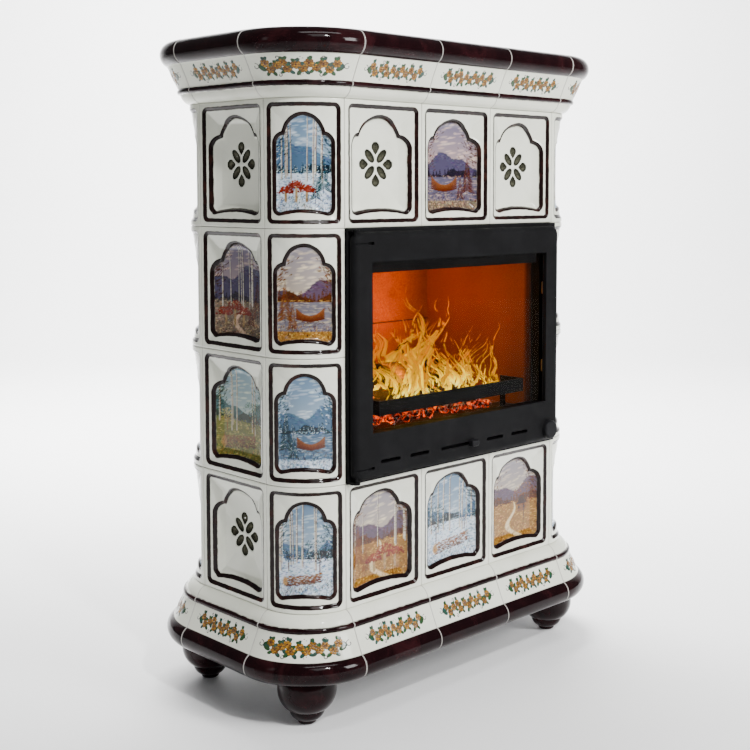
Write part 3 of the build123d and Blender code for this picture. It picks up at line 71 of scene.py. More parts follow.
NICHE_LIP_RISE, NICHE_LIP_OUT, NICHE_LIP_W = 0.4 * MM, 3 * MM, 2.5 * MM
DISH = 2.2 * MM
DISH_REACH = 16 * MM
VENT_SLOPE = 0.07
VENT_SLOPE_REACH = 45 * MM

NICHE_FROM_TOP = 30 * MM
NICHE_FROM_FOOT = 27 * MM
NICHE_ARCH_RISE = 35 * MM
NICHE_SHOULDER_R = 24 * MM
NICHE_FOOT_RISE = 6 * MM
NICHE_FOOT_R = 12 * MM
FLAT_NICHE_HALF_W = 75 * MM
CORNER_NICHE_HALF_W = 60 * MM

PETAL_RING_R = 22 * MM
PETAL_HALF_L = 16 * MM
PETAL_HALF_W = 8.3 * MM
DROP_RING_R = 33 * MM
DROP_R = 10 * MM
DROP_TIP_R = 18.5 * MM
HOLE_TAPER = 0.93
HOLE_TAPER_REACH = 12 * MM
HOLE_EDGE = 0.4 * MM
HOLE_ROUND_DROP, HOLE_ROUND_W = 0.9 * MM, 1.8 * MM

OVOLO_H = 19 * MM
OVOLO_REACH = 18 * MM
BEAD_H = 10 * MM
BEAD_REACH = 24 * MM
BAND_H = 45.5 * MM
BAND_REACH = 43 * MM
BAND_FOOT_OUT = 4 * MM
BAND_MIDDLE_OUT = 15 * MM
TORUS_REACH = 57 * MM
CREST_REACH = 34 * MM
MOULDING_INSET = 50 * MM
SEAT_REACH = 15.5 * MM
SEAT_DEPTH = 3 * MM

# places read from the frame
tile_low, tile_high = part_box("front_tile_bottom_left")
SEAM = 0.6 * MM
TILE_W = tile_high.x - tile_low.x + SEAM
TILE_H = tile_high.z - tile_low.z + SEAM
TILES_Z = tile_low.z - SEAM / 2
FRONT_Y = tile_low.y
HALF_FLAT_X = -tile_low.x + SEAM / 2
corner_low, corner_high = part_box("corner_tiles_front_left")
HALF_X = -corner_low.x
HALF_Y = -FRONT_Y
CORNER_R = HALF_X - HALF_FLAT_X
HALF_FLAT_Y = HALF_Y - CORNER_R
CORNICE_Z = TILES_Z + ROWS * TILE_H
cornice_low, cornice_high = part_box("cornice_front")
MOULDING_H = cornice_high.z - CORNICE_Z
floor_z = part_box("lining_floor")[1].z
bar_low, bar_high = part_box("log_bar")
fire_left, fire_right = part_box("lining_left")[1].x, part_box("lining_right")[0].x
fire_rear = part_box("lining_rear")[0].y
LINING_JOINT_UP = 171 * MM
REAR_JOINT_Z = floor_z + LINING_JOINT_UP


# ---- walls and corners: each maps (along, up, depth) to a point ----
def flat_wall(origin, right, out):
    """A flat wall: along runs to the viewer's right, depth into the stove."""

    def place(along, up, depth):
        base = np.asarray(origin)[None, :] + along[:, None] * np.asarray(right)[None, :]
        base = base - depth[:, None] * np.asarray(out)[None, :]
        base[:, 2] += up
        return base

    return place


def round_wall(centre_x, centre_y, middle_angle, base_z):
    """A quarter-round wall about an upright axis."""

    def place(along, up, depth):
        angle = middle_angle + along / CORNER_R
        reach = CORNER_R - depth
        return np.stack(
            [centre_x + reach * np.cos(angle), centre_y + reach * np.sin(angle), base_z + up], -1
        )

    return place


CORNERS = {
    "front_left": (-HALF_FLAT_X, -HALF_FLAT_Y, radians(225)),
    "front_right": (HALF_FLAT_X, -HALF_FLAT_Y, radians(315)),
    "rear_right": (HALF_FLAT_X, HALF_FLAT_Y, radians(45)),
    "rear_left": (-HALF_FLAT_X, HALF_FLAT_Y, radians(135)),
}


# ---- mesh helpers ----
def add_object(name, data):
    """A new object in the scene."""
    thing = bpy.data.objects.new(name, data)
    bpy.context.scene.collection.objects.link(thing)
    return thing


def mesh_piece(name, points, faces, material, floats=None, colours=None):
    """A smooth-shaded piece with per-point values, riding on the root body."""
    mesh = bpy.data.meshes.new(name)
    mesh.from_pydata(np.asarray(points).tolist(), [], faces)
    for key, values in (floats or {}).items():
        attribute = mesh.attributes.new(key, "FLOAT", "POINT")
        attribute.data.foreach_set("value", np.asarray(values, np.float32))
    for key, values in (colours or {}).items():
        attribute = mesh.attributes.new(key, "FLOAT_COLOR", "POINT")
        full = np.ones((len(points), 4), np.float32)
        full[:, :3] = values
        attribute.data.foreach_set("color", full.ravel())
    mesh.validate()
    mesh.update()
    mesh.shade_smooth()
    piece = add_object(name, mesh)
    piece.data.materials.append(material)
    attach(piece, "root")
    return piece


def three_point_arc(start, middle, end, count):
    """Points on the circle through three points, from start to end."""
    (ax, ay), (bx, by), (cx, cy) = start, middle, end
    d = 2 * (ax * (by - cy) + bx * (cy - ay) + cx * (ay - by))
    sa, sb, sc = ax * ax + ay * ay, bx * bx + by * by, cx * cx + cy * cy
    ux = (sa * (by - cy) + sb * (cy - ay) + sc * (ay - by)) / d
    uy = (sa * (cx - bx) + sb * (ax - cx) + sc * (bx - ax)) / d
    radius = hypot(ax - ux, ay - uy)
    a0 = atan2(ay - uy, ax - ux)
    a1 = atan2(by - uy, bx - ux)
    a2 = atan2(cy - uy, cx - ux)
    turn = (a2 - a0) % (2 * pi)
    if (a1 - a0) % (2 * pi) > turn:
        turn -= 2 * pi
    angles = a0 + turn * np.linspace(0, 1, count)
    return [(ux + radius * cos(a), uy + radius * sin(a)) for a in angles]


def quarter(centre, radius, start_deg, end_deg, count=12):
    """Points on an arc about a centre."""
    angles = np.radians(np.linspace(start_deg, end_deg, count))
    return [(centre[0] + radius * cos(a), centre[1] + radius * sin(a)) for a in angles]


def distance_to(outline, x, y):
    """Signed distance to a closed outline, negative inside."""
    pts = np.asarray(outline)
    nxt = np.roll(pts, -1, axis=0)
    best = np.full(x.shape, 1e9)
    inside = np.zeros(x.shape, bool)
    for (ax, ay), (bx, by) in zip(pts, nxt):
        ex, ey = bx - ax, by - ay
        t = np.clip(((x - ax) * ex + (y - ay) * ey) / max(ex * ex + ey * ey, 1e-18), 0, 1)
        best = np.minimum(best, np.hypot(x - ax - t * ex, y - ay - t * ey))
        crosses = (ay > y) != (by > y)
        at = ax + (y - ay) * ex / (ey if abs(ey) > 1e-12 else 1e-12)
        inside ^= crosses & (x < at)
    return np.where(inside, -best, best)


def smooth(value, low, high):
    """0 below low, 1 above high, and an easy slope between."""
    t = np.clip((value - low) / (high - low), 0, 1)
    return t * t * (3 - 2 * t)


def tube_faces(start, rings, sides, clockwise=False):
    """Quads between rings of points, then the two end caps."""
    last = start + (rings - 1) * sides
    faces = []
    for a in range(start, last):
        b = a + 1 if (a + 1 - start) % sides else a + 1 - sides
        faces.append((a, a + sides, b + sides, b) if clockwise else (a, b, b + sides, a + sides))
    foot, top = list(range(start, start + sides)), list(range(last, last + sides))
    return faces + ([foot, top[::-1]] if clockwise else [foot[::-1], top])


# ---- tiles ----
def niche_outline(half_w):
    """The arched niche about the tile's middle."""
    shoulder = NICHE_SHOULDER_R * half_w / FLAT_NICHE_HALF_W
    arch = half_w - shoulder
    top = TILE_H / 2 - NICHE_FROM_TOP
    spring = top - NICHE_ARCH_RISE
    foot = NICHE_FROM_FOOT - TILE_H / 2
    outline = three_point_arc((arch, spring), (0, top), (-arch, spring), 48)
    outline += quarter((-arch, spring - shoulder), shoulder, 90, 180)[1:]
    outline += quarter((NICHE_FOOT_R - half_w, foot + NICHE_FOOT_R), NICHE_FOOT_R, 180, 270)
    corner_x = half_w - NICHE_FOOT_R
    foot_arch = (-corner_x, foot), (0, foot + NICHE_FOOT_RISE), (corner_x, foot)
    outline += three_point_arc(*foot_arch, 32)[1:]
    outline += quarter((corner_x, foot + NICHE_FOOT_R), NICHE_FOOT_R, 270, 360)[1:]
    outline += quarter((arch, spring - shoulder), shoulder, 0, 90)[:-1]
    return outline


def petal_shapes():
    """Middle and outline of each of the eight air holes."""
    shapes = []
    turn = np.linspace(0, 2 * pi, 40, endpoint=False)
    half = acos(DROP_R / (DROP_RING_R - DROP_TIP_R))
    sweep = np.linspace(pi - half, half - pi, 28)
    for k in range(8):
        a = radians(45 * k)
        c, s = cos(a), sin(a)
        if k % 2:
            middle = PETAL_RING_R
            along, across = PETAL_RING_R + PETAL_HALF_L * np.cos(turn), PETAL_HALF_W * np.sin(turn)
        else:
            middle = DROP_RING_R - 0.15 * DROP_R
            along = np.append(DROP_RING_R + DROP_R * np.cos(sweep), DROP_TIP_R)
            across = np.append(DROP_R * np.sin(sweep), 0.0)
        turned = np.stack([c * along - s * across, s * along + c * across], -1)
        shapes.append(((c * middle, s * middle), turned))
    return shapes


PETALS = petal_shapes()


def petal_distance(x, y):
    """Signed distance to the nearest air hole, negative inside, and which hole that is."""
    each = np.stack([distance_to(outline, x, y) for _, outline in PETALS])
    return each.min(0), each.argmin(0)


class TileForm:
    """The relief of one kind of tile on a regular grid, worked out once and used for each such tile."""

    def __init__(self, width, niche_half_w, slope):
        half_w, half_h = width / 2 - SEAM / 2, TILE_H / 2 - SEAM / 2
        self.nx = round(width / GRID)
        self.ny = round(TILE_H / GRID)
        xs = np.linspace(-half_w, half_w, self.nx + 1)
        ys = np.linspace(-half_h, half_h, self.ny + 1)
        self.x, self.y = (a.ravel() for a in np.meshgrid(xs, ys))
        self.edge = np.minimum(half_w - np.abs(self.x), half_h - np.abs(self.y))
        qx = np.abs(self.x) - (half_w - RIM_W - RIM_CORNER_R)
        qy = np.abs(self.y) - (half_h - RIM_W - RIM_CORNER_R)
        outside = np.hypot(np.maximum(qx, 0), np.maximum(qy, 0))
        self.line = RIM_CORNER_R - outside - np.minimum(np.maximum(qx, qy), 0)
        self.niche = distance_to(niche_outline(niche_half_w), self.x, self.y)
        self.niche_half_w = niche_half_w
        rounding = OUTER_ROUND - np.minimum(self.edge, OUTER_ROUND)
        depth = OUTER_ROUND - np.sqrt(OUTER_ROUND**2 - rounding**2)
        depth += LINE_DROP * smooth(self.line, 0, LINE_W)
        mitre = np.clip(self.edge - RIM_W - LINE_W, 0, SLOPE_REACH)
        depth += slope * mitre
        inward = -self.niche
        lip = NICHE_LIP_RISE * np.exp(-((inward + NICHE_LIP_OUT) / NICHE_LIP_W) ** 2)
        depth += NICHE_DROP * smooth(inward, -1.5 * MM, 1.5 * NICHE_LINE_W) - lip
        depth += DISH * (1 - np.exp(-np.maximum(inward, 0) / DISH_REACH))
        self.depth = depth


def grid_faces(nx, ny):
    """Quads of a grid of points, seen from outside."""
    i, j = (a.ravel() for a in np.meshgrid(np.arange(nx), np.arange(ny)))
    a = j * (nx + 1) + i
    return np.stack([a, a + 1, a + nx + 2, a + nx + 1], -1)


def border_of(nx, ny):
    """The grid's outermost points, once round, anticlockwise seen from outside."""
    foot = list(range(nx + 1))
    right = [j * (nx + 1) + nx for j in range(1, ny + 1)]
    top = [ny * (nx + 1) + i for i in range(nx - 1, -1, -1)]
    left = [j * (nx + 1) for j in range(ny - 1, 0, -1)]
    return foot + right + top + left


def build_tile(name, node, form, place, picture):
    """A closed glazed tile: relief in front, flat behind, its niche painted, or pierced for air."""
    x, y, depth = form.x.copy(), form.y.copy(), form.depth.copy()
    faces = grid_faces(form.nx, form.ny)
    wall = np.zeros(len(x))
    if not picture:
        hole, nearest = petal_distance(x, y)
        step = GRID / 2
        gx = (petal_distance(x + step, y)[0] - petal_distance(x - step, y)[0]) / (2 * step)
        gy = (petal_distance(x, y + step)[0] - petal_distance(x, y - step)[0]) / (2 * step)
        near = np.abs(hole) < 0.55 * GRID
        x[near] -= (hole * gx)[near]
        y[near] -= (hole * gy)[near]
        depth += HOLE_ROUND_DROP * (1 - smooth(np.abs(hole), 0, HOLE_ROUND_W))
        depth += VENT_SLOPE * np.clip(-form.niche, 0, VENT_SLOPE_REACH)
        faces = faces[hole[faces].mean(1) > 0]
    front = place(x, y, depth)
    count = len(x)
    colour = picture(form) if picture else np.zeros((count, 3))
    if not picture:
        taper = HOLE_TAPER * (1 - smooth(np.abs(hole), 0, HOLE_TAPER_REACH))
        middle_x, middle_y = np.array([m for m, _ in PETALS])[nearest].T
        bore_x, bore_y = x + taper * (middle_x - x), y + taper * (middle_y - y)
        back = place(bore_x, bore_y, np.full(count, PLATE_T))
        edges = np.concatenate([faces[:, [k, (k + 1) % 4]] for k in range(4)])
        known = {(a, b) for a, b in edges.tolist()}
        rim = [(a, b) for a, b in edges.tolist() if (b, a) not in known]
        ring = sorted({k for edge in rim for k in edge})
        inner = {k: 2 * count + n for n, k in enumerate(ring)}
        quads = faces.tolist() + (faces[:, ::-1] + count).tolist()
        quads += [(b, a, inner[a], inner[b]) for a, b in rim]
        quads += [(inner[b], inner[a], a + count, b + count) for a, b in rim]
        points = np.concatenate([front, back, place(x[ring], y[ring], depth[ring] + HOLE_EDGE)])
        wall = np.concatenate([wall, np.ones(count), np.full(len(ring), 0.5)])
    else:
        border = border_of(form.nx, form.ny)
        back = place(x[border], y[border], np.full(len(border), PLATE_T))
        n = len(border)
        quads = faces.tolist()
        quads += [
            (border[(k + 1) % n], border[k], count + k, count + (k + 1) % n) for k in range(n)
        ]
        quads.append([count + k for k in range(n - 1, -1, -1)])
        points = np.concatenate([front, back])
        wall = np.concatenate([wall, np.ones(n)])

    def both(values):
        return np.concatenate([values, values[border]] if picture else [values, values, values[ring]])

    floats = {
        "line": both(form.line),
        "niche": both(form.niche),
        "rim": both(form.edge),
        "wall": wall,
        "painted": both(np.full(count, 1.0 if picture else 0.0)),
    }
    colours = {"paint": both(colour)}
    piece = mesh_piece(name, points, quads, tile_material, floats, colours)
    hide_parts(node)


# ---- pictures: generic landscapes, painted stroke by stroke ----
PIXEL = 0.6 * MM  # of a picture, on the tile
PICTURE_MARGIN = 3 * MM
# sky above and below, far hill, wood, ground, its dabs, leaf, accent
SEASONS = {
    "winter": ((0.40, 0.50, 0.60), (0.78, 0.80, 0.80), (0.34, 0.43, 0.52), (0.10, 0.20, 0.24),
               (0.80, 0.84, 0.88), (0.36, 0.47, 0.58), (0.09, 0.20, 0.22), (0.34, 0.20, 0.15)),
    "autumn": ((0.54, 0.52, 0.56), (0.84, 0.77, 0.62), (0.38, 0.32, 0.38), (0.36, 0.22, 0.10),
               (0.56, 0.42, 0.22), (0.80, 0.64, 0.38), (0.46, 0.28, 0.13), (0.22, 0.13, 0.09)),
    "summer": ((0.46, 0.58, 0.64), (0.84, 0.84, 0.74), (0.30, 0.42, 0.42), (0.13, 0.24, 0.15),
               (0.46, 0.46, 0.24), (0.74, 0.66, 0.38), (0.12, 0.28, 0.16), (0.60, 0.36, 0.14)),
    "dusk": ((0.46, 0.44, 0.52), (0.84, 0.72, 0.62), (0.34, 0.32, 0.40), (0.20, 0.17, 0.22),
             (0.46, 0.41, 0.36), (0.74, 0.64, 0.50), (0.34, 0.20, 0.16), (0.16, 0.10, 0.14)),
}
SNOW = (0.90, 0.93, 0.95)
PALE_BARK, DARK_BARK = (0.80, 0.78, 0.72), (0.16, 0.10, 0.07)
OAK, SAWN_OAK = (0.43, 0.25, 0.13), (0.80, 0.62, 0.40)
COTTAGE_WALL, COTTAGE_OPENING = (0.50, 0.36, 0.25), (0.20, 0.12, 0.08)
MUSHROOM_CAP, MUSHROOM_STEM = (0.46, 0.15, 0.08), (0.62, 0.52, 0.38)


class Painting:
    """A small canvas whose strokes are soft ellipses; coordinates are metres from its foot's middle."""

    def __init__(self, width, height, seed):
        self.nx, self.ny = round(width / PIXEL), round(height / PIXEL)
        self.width, self.height = width, height
        self.rgb = np.zeros((self.ny, self.nx, 3))
        self.rng = random.Random(seed)
        self.pick = self.rng.uniform

    def mm(self, low, high):
        """A random length between two in millimetres."""
        return self.pick(low, high) * MM

    def across(self, half=0.5):
        """A random place across the canvas."""
        return self.pick(-half, half) * self.width

    def tone(self, colour, spread=0.06, shade=0.0):
        """The colour, shaded, then a little lighter or darker and warmer or cooler."""
        light = shade + self.pick(-spread, spread)
        return np.clip([c + light + self.pick(-spread, spread) / 2 for c in colour], 0, 1)

    def stroke(self, x, y, rx, ry, angle, colour, strength):
        """One brush mark."""
        cx, cy = (x + self.width / 2) / PIXEL, y / PIXEL
        reach = max(rx, ry) / PIXEL * 1.3 + 1
        x0, x1 = max(0, int(cx - reach)), min(self.nx, int(cx + reach) + 1)
        y0, y1 = max(0, int(cy - reach)), min(self.ny, int(cy + reach) + 1)
        if x0 >= x1 or y0 >= y1:
            return
        gx, gy = np.meshgrid(np.arange(x0, x1) - cx, np.arange(y0, y1) - cy)
        c, s = cos(angle), sin(angle)
        u = (gx * c + gy * s) / max(rx / PIXEL, 0.6)
        v = (gy * c - gx * s) / max(ry / PIXEL, 0.6)
        cover = strength * np.clip(2.2 * (1 - np.sqrt(u * u + v * v)), 0, 1)[..., None]
        window = self.rgb[y0:y1, x0:x1]
        self.rgb[y0:y1, x0:x1] = window * (1 - cover) + np.asarray(colour) * cover

    def sky(self, above, below):
        """A graded sky with drifting cloud strokes."""
        t = np.linspace(0, 1, self.ny)[:, None, None]
        self.rgb[:] = np.asarray(below) * (1 - t) + np.asarray(above) * t
        for _ in range(120):
            y, x = self.pick(0.4, 1) * self.height, self.across()
            cloud = self.tone(below, 0.05, 0.12)
            self.stroke(x, y, self.mm(6, 16), self.mm(1, 3), 0.1, cloud, 0.35)

    def ridge(self, level, swing, colour, wave):
        """A hill line, filled down with short strokes along the slope."""
        phase = self.pick(0, 6)

        def top(x):
            folds = sin(x * wave + phase) + 0.4 * sin(2.7 * x * wave + phase * 2)
            return level + swing * folds

        for i in range(self.nx):
            rows = int(top(i * PIXEL - self.width / 2) / PIXEL)
            self.rgb[: max(0, min(self.ny, rows)), i] = colour
        for _ in range(260):
            x = self.across()
            y = top(x) - abs(self.rng.gauss(0, 8)) * MM
            self.stroke(x, y, self.mm(3, 7), 1.1 * MM, self.pick(-0.5, 0.2),
                        self.tone(colour, 0.09), 0.6)

    def ground(self, level, colour, dab):
        """The foreground, built up of flat dabs."""
        self.rgb[: int(level / PIXEL)] = colour
        for _ in range(1100):
            y, x = self.pick(0, level * 1.04), self.across()
            tint = self.tone(dab if self.rng.random() < 0.45 else colour, 0.10)
            self.stroke(x, y, self.mm(1.5, 5), self.mm(0.5, 1.2), self.pick(-0.3, 0.3), tint, 0.8)

    def conifer(self, x, foot, height, colour, snow):
        """A spruce of drooping boughs, with snow on them in winter."""
        self.stroke(x, foot + height * 0.1, 0.8 * MM, height * 0.14, 0, DARK_BARK, 0.9)
        tiers = max(7, int(height / (3 * MM)))
        for t in np.arange(tiers) / tiers:
            half = height * 0.24 * (1 - t) + 0.8 * MM
            bough_y, snow_y = foot + height * (0.12 + 0.88 * t), foot + height * (0.15 + 0.86 * t)
            for side in (-1, 1):
                for _ in range(3):
                    out = self.pick(0.15, 0.75) * half * side
                    self.stroke(x + out, bough_y - abs(out) * 0.35, half * 0.42, 0.9 * MM,
                                -0.5 * side, self.tone(colour), 0.9)
                if snow and self.rng.random() < 0.7:
                    self.stroke(x + half * 0.45 * side, snow_y - half * 0.1, half * 0.34, 0.8 * MM,
                                -0.45 * side, self.tone(snow, 0.04), 0.85)

    def round_tree(self, x, foot, height, colour, trunk):
        """A broad-crowned tree of leaf dabs on forked limbs."""
        upright = pi / 2
        self.stroke(x, foot + height * 0.25, height * 0.28, 1.4 * MM, upright, trunk, 0.95)
        for lean in (-0.7, -0.3, 0.35, 0.75):
            self.stroke(x + lean * height * 0.16, foot + height * 0.56, height * 0.2, 0.7 * MM,
                        upright - lean, trunk, 0.85)
        for _ in range(int(170 * height / 0.06)):
            a, r = self.pick(0, 6.28), sqrt(self.rng.random()) * height * 0.34
            tint = self.tone(colour, 0.09, 0.09 * sin(a))
            self.stroke(x + r * cos(a) * 1.1, foot + height * 0.68 + r * sin(a) * 0.85,
                        self.mm(1, 2.2), self.mm(0.7, 1.3), self.pick(0, 3), tint, 0.85)

    def water(self, foot, level, above, below):
        """A lake with level ripples and broken reflections."""
        self.rgb[int(foot / PIXEL) : int(level / PIXEL)] = [c * 0.86 for c in above]
        for _ in range(420):
            tint = self.tone(below if self.rng.random() < 0.5 else [c * 0.7 for c in above])
            self.stroke(self.across(), self.pick(foot, level), self.mm(3, 10), 0.6 * MM, 0, tint, 0.55)

    def cottage(self, x, foot, size, wall, roof):
        """A small gabled cottage with a chimney."""
        courses = [(0.05 + 0.05 * k, 0.5, wall) for k in range(9)]
        courses += [(0.48 + 0.42 * k / 8, 0.62 - 0.5 * k / 8, roof) for k in range(8)]
        for up, half, colour in courses:
            self.stroke(x, foot + size * up, size * half, size * 0.05, 0, self.tone(colour, 0.03), 0.95)
        self.stroke(x + size * 0.24, foot + size * 0.86, size * 0.05, size * 0.16, 0, roof, 0.95)
        for out in (-0.24, 0.2):
            self.stroke(x + out * size, foot + size * 0.26, size * 0.09, size * 0.1, 0,
                        COTTAGE_OPENING, 0.95)

    def stream(self, level, colour):
        """A stream or path that winds down and widens to the front."""
        for t in np.arange(90) / 90:
            x = sin(t * 7 + 1) * self.width * 0.13 * (0.3 + t)
            self.stroke(x, level * (1 - t), (2 + 13 * t) * MM, 1.4 * MM, 0,
                        self.tone(colour, 0.05), 0.85)

    def trunks(self, level, bark, mark, count):
        """Slim upright trunks behind the open ground, with dark bars across them."""
        piece = self.height / 60
        for _ in range(count):
            x, wide = self.across(0.48), self.mm(1.2, 2.9)
            foot, bend = level * self.pick(0.7, 0.98), self.mm(-3, 3)
            for t in np.arange(44) / 43:
                at, y = x + bend * t * t, foot + t * (self.height - foot)
                self.stroke(at, y, wide * (1 - 0.5 * t), piece, 0, self.tone(bark, 0.05), 0.9)
                self.stroke(at + 0.7 * wide, y, 0.35 * wide, piece, 0, mark, 0.5)
                if self.rng.random() < 0.3:
                    self.stroke(at, y, 0.8 * wide, 0.5 * MM, 0, mark, 0.8)

    def boughs(self, colour, snow):
        """Dark foliage that frames the view from both sides."""
        for side in (-1, 1):
            for _ in range(330):
                x = side * self.width * (0.5 - abs(self.rng.gauss(0, 0.11)))
                y = self.height * (1 - abs(self.rng.gauss(0, 0.22)))
                tint = snow if snow and self.rng.random() < 0.28 else colour
                self.stroke(x, y, self.mm(2, 6), self.mm(0.5, 1.1), self.pick(-0.4, 0.4) - 0.6 * side,
                            self.tone(tint, 0.09), 0.8)

    def fallen_log(self, x, y, length, bark, heart):
        """A mossy log across the foreground, its sawn end towards us."""
        for along in (np.arange(60) / 59 - 0.5) * length:
            for _ in range(5):
                lift = self.pick(-1, 1)
                self.stroke(x + along, y + 0.12 * length * lift + 0.10 * along, 4 * MM, 0.8 * MM, 0.1,
                            self.tone(bark, 0.06, 0.10 * lift), 0.85)
        for share in (1.0, 0.75, 0.5, 0.25):
            tint = heart if share in (1.0, 0.5) else [c * 0.72 for c in heart]
            self.stroke(x - 0.5 * length, y - 0.05 * length, 0.085 * length * share,
                        0.125 * length * share, 0, tint, 0.95)

    def mushrooms(self, x, y, size, cap):
        """Three mushrooms of different heights."""
        for out, tall in ((0.0, 1.0), (-0.42, 0.62), (0.4, 0.7)):
            at = x + out * size
            for k in range(14):
                self.stroke(at, y + tall * size * 0.45 * k / 13, 0.06 * size, 0.05 * size, 0,
                            self.tone(MUSHROOM_STEM, 0.05), 0.9)
            for _ in range(110):
                a = self.pick(0, pi)
                c, s = cos(a), sin(a)
                r = sqrt(self.rng.random()) * 0.3 * size * (0.6 + 0.4 * tall)
                self.stroke(at + 1.25 * r * c, y + tall * size * 0.42 + 0.9 * r * s, 2.2 * MM, 1.5 * MM,
                            0.3 * c, self.tone(cap, 0.05, 0.12 * s - 0.05), 0.9)

    def boat(self, x, y, length, hull):
        """A rowing boat with its broken reflection."""
        for t in np.arange(46) / 45 - 0.5:
            at, rise = x + t * length, 0.22 * length * (2 * t) ** 2
            for row in range(6):
                up = rise * (0.35 + 0.13 * row) + 0.03 * length * row
                self.stroke(at, y + up, 2.4 * MM, 1.6 * MM, 0,
                            self.tone(hull, 0.03, 0.14 * (row / 5 - 0.5)), 0.9)
            self.stroke(at, y - self.mm(1, 7), 2.4 * MM, 0.5 * MM, 0,
                        self.tone([c * 0.6 for c in hull], 0.04), 0.5)

    def tufts(self, level, colours):
        """Grass blades and small flowers in the foreground."""
        for _ in range(420):
            y = self.rng.random() ** 1.4 * level
            self.stroke(self.across(), y, self.mm(1.5, 4), 0.5 * MM,
                        pi / 2 + self.pick(-0.6, 0.6), self.tone(self.rng.choice(colours), 0.08), 0.8)


def landscape(season, motif, seed):
    """Returns a function that colours a tile's points with its own landscape."""
    above, below, hill, wood, ground, dab, leaf, accent = SEASONS[season]
    snow = SNOW if season == "winter" else None

    def colour(form):
        width = 2 * (form.niche_half_w + PICTURE_MARGIN)
        foot = NICHE_FROM_FOOT - TILE_H / 2 - PICTURE_MARGIN
        height = TILE_H / 2 - NICHE_FROM_TOP + PICTURE_MARGIN - foot
        art = Painting(width, height, seed)
        far, horizon = height * art.pick(0.56, 0.68), height * art.pick(0.38, 0.46)
        art.sky(above, below)
        art.ridge(far, height * 0.07, hill, 34)
        art.ridge(horizon * 1.12, height * 0.035, wood, 60)
        for k in range(16):
            x = (k / 15 - 0.5) * width + art.mm(-3, 3)
            art.conifer(x, horizon, art.mm(12, 24), wood, snow)
        art.ground(horizon, ground, dab)
        if motif == "lake":
            art.water(height * 0.14, horizon, above, below)
        if motif in ("stream", "cottage"):
            art.stream(horizon, below)
        if motif == "cottage":
            out = width * art.rng.choice((-0.18, 0.2))
            art.cottage(out, horizon * 0.72, 38 * MM, COTTAGE_WALL, snow or accent)
        side = art.rng.choice((-1, 1)) * width
        if motif in ("stream", "hill"):
            art.trunks(horizon, PALE_BARK, accent, 9)
        if motif == "lake":
            art.boat(-side * 0.1, height * 0.24, width * 0.46, OAK)
        if motif in ("lake", "stream"):
            art.conifer(side * 0.33, horizon * 0.5, 78 * MM, leaf, snow)
            art.conifer(side * 0.2, horizon * 0.34, 52 * MM, leaf, snow)
        if motif in ("hill", "cottage"):
            art.round_tree(-side * 0.24, horizon * 0.42, 92 * MM, leaf, accent)
        if motif == "hill":
            art.round_tree(side * 0.3, horizon * 0.66, 50 * MM, dab, accent)
            art.fallen_log(side * 0.05, height * 0.2, width * 0.62, OAK, SAWN_OAK)
        if motif == "stream":
            art.mushrooms(-side * 0.12, height * 0.14, width * 0.44, MUSHROOM_CAP)
        art.boughs([c * 0.75 for c in leaf], snow)
        art.tufts(height * 0.2, [accent, dab, leaf])
        i = np.clip((form.x + width / 2) / PIXEL, 0, art.nx - 1.001)
        j = np.clip((form.y - foot) / PIXEL, 0, art.ny - 1.001)
        i0, j0 = i.astype(int), j.astype(int)
        fi, fj = (i - i0)[:, None], (j - j0)[:, None]
        low, high = (art.rgb[row, i0] * (1 - fi) + art.rgb[row, i0 + 1] * fi for row in (j0, j0 + 1))
        shown = low * (1 - fj) + high * fj
        return 0.82 * np.clip(1.12 * (shown - 0.5) + 0.47, 0, 1) ** 2.3

    return colour


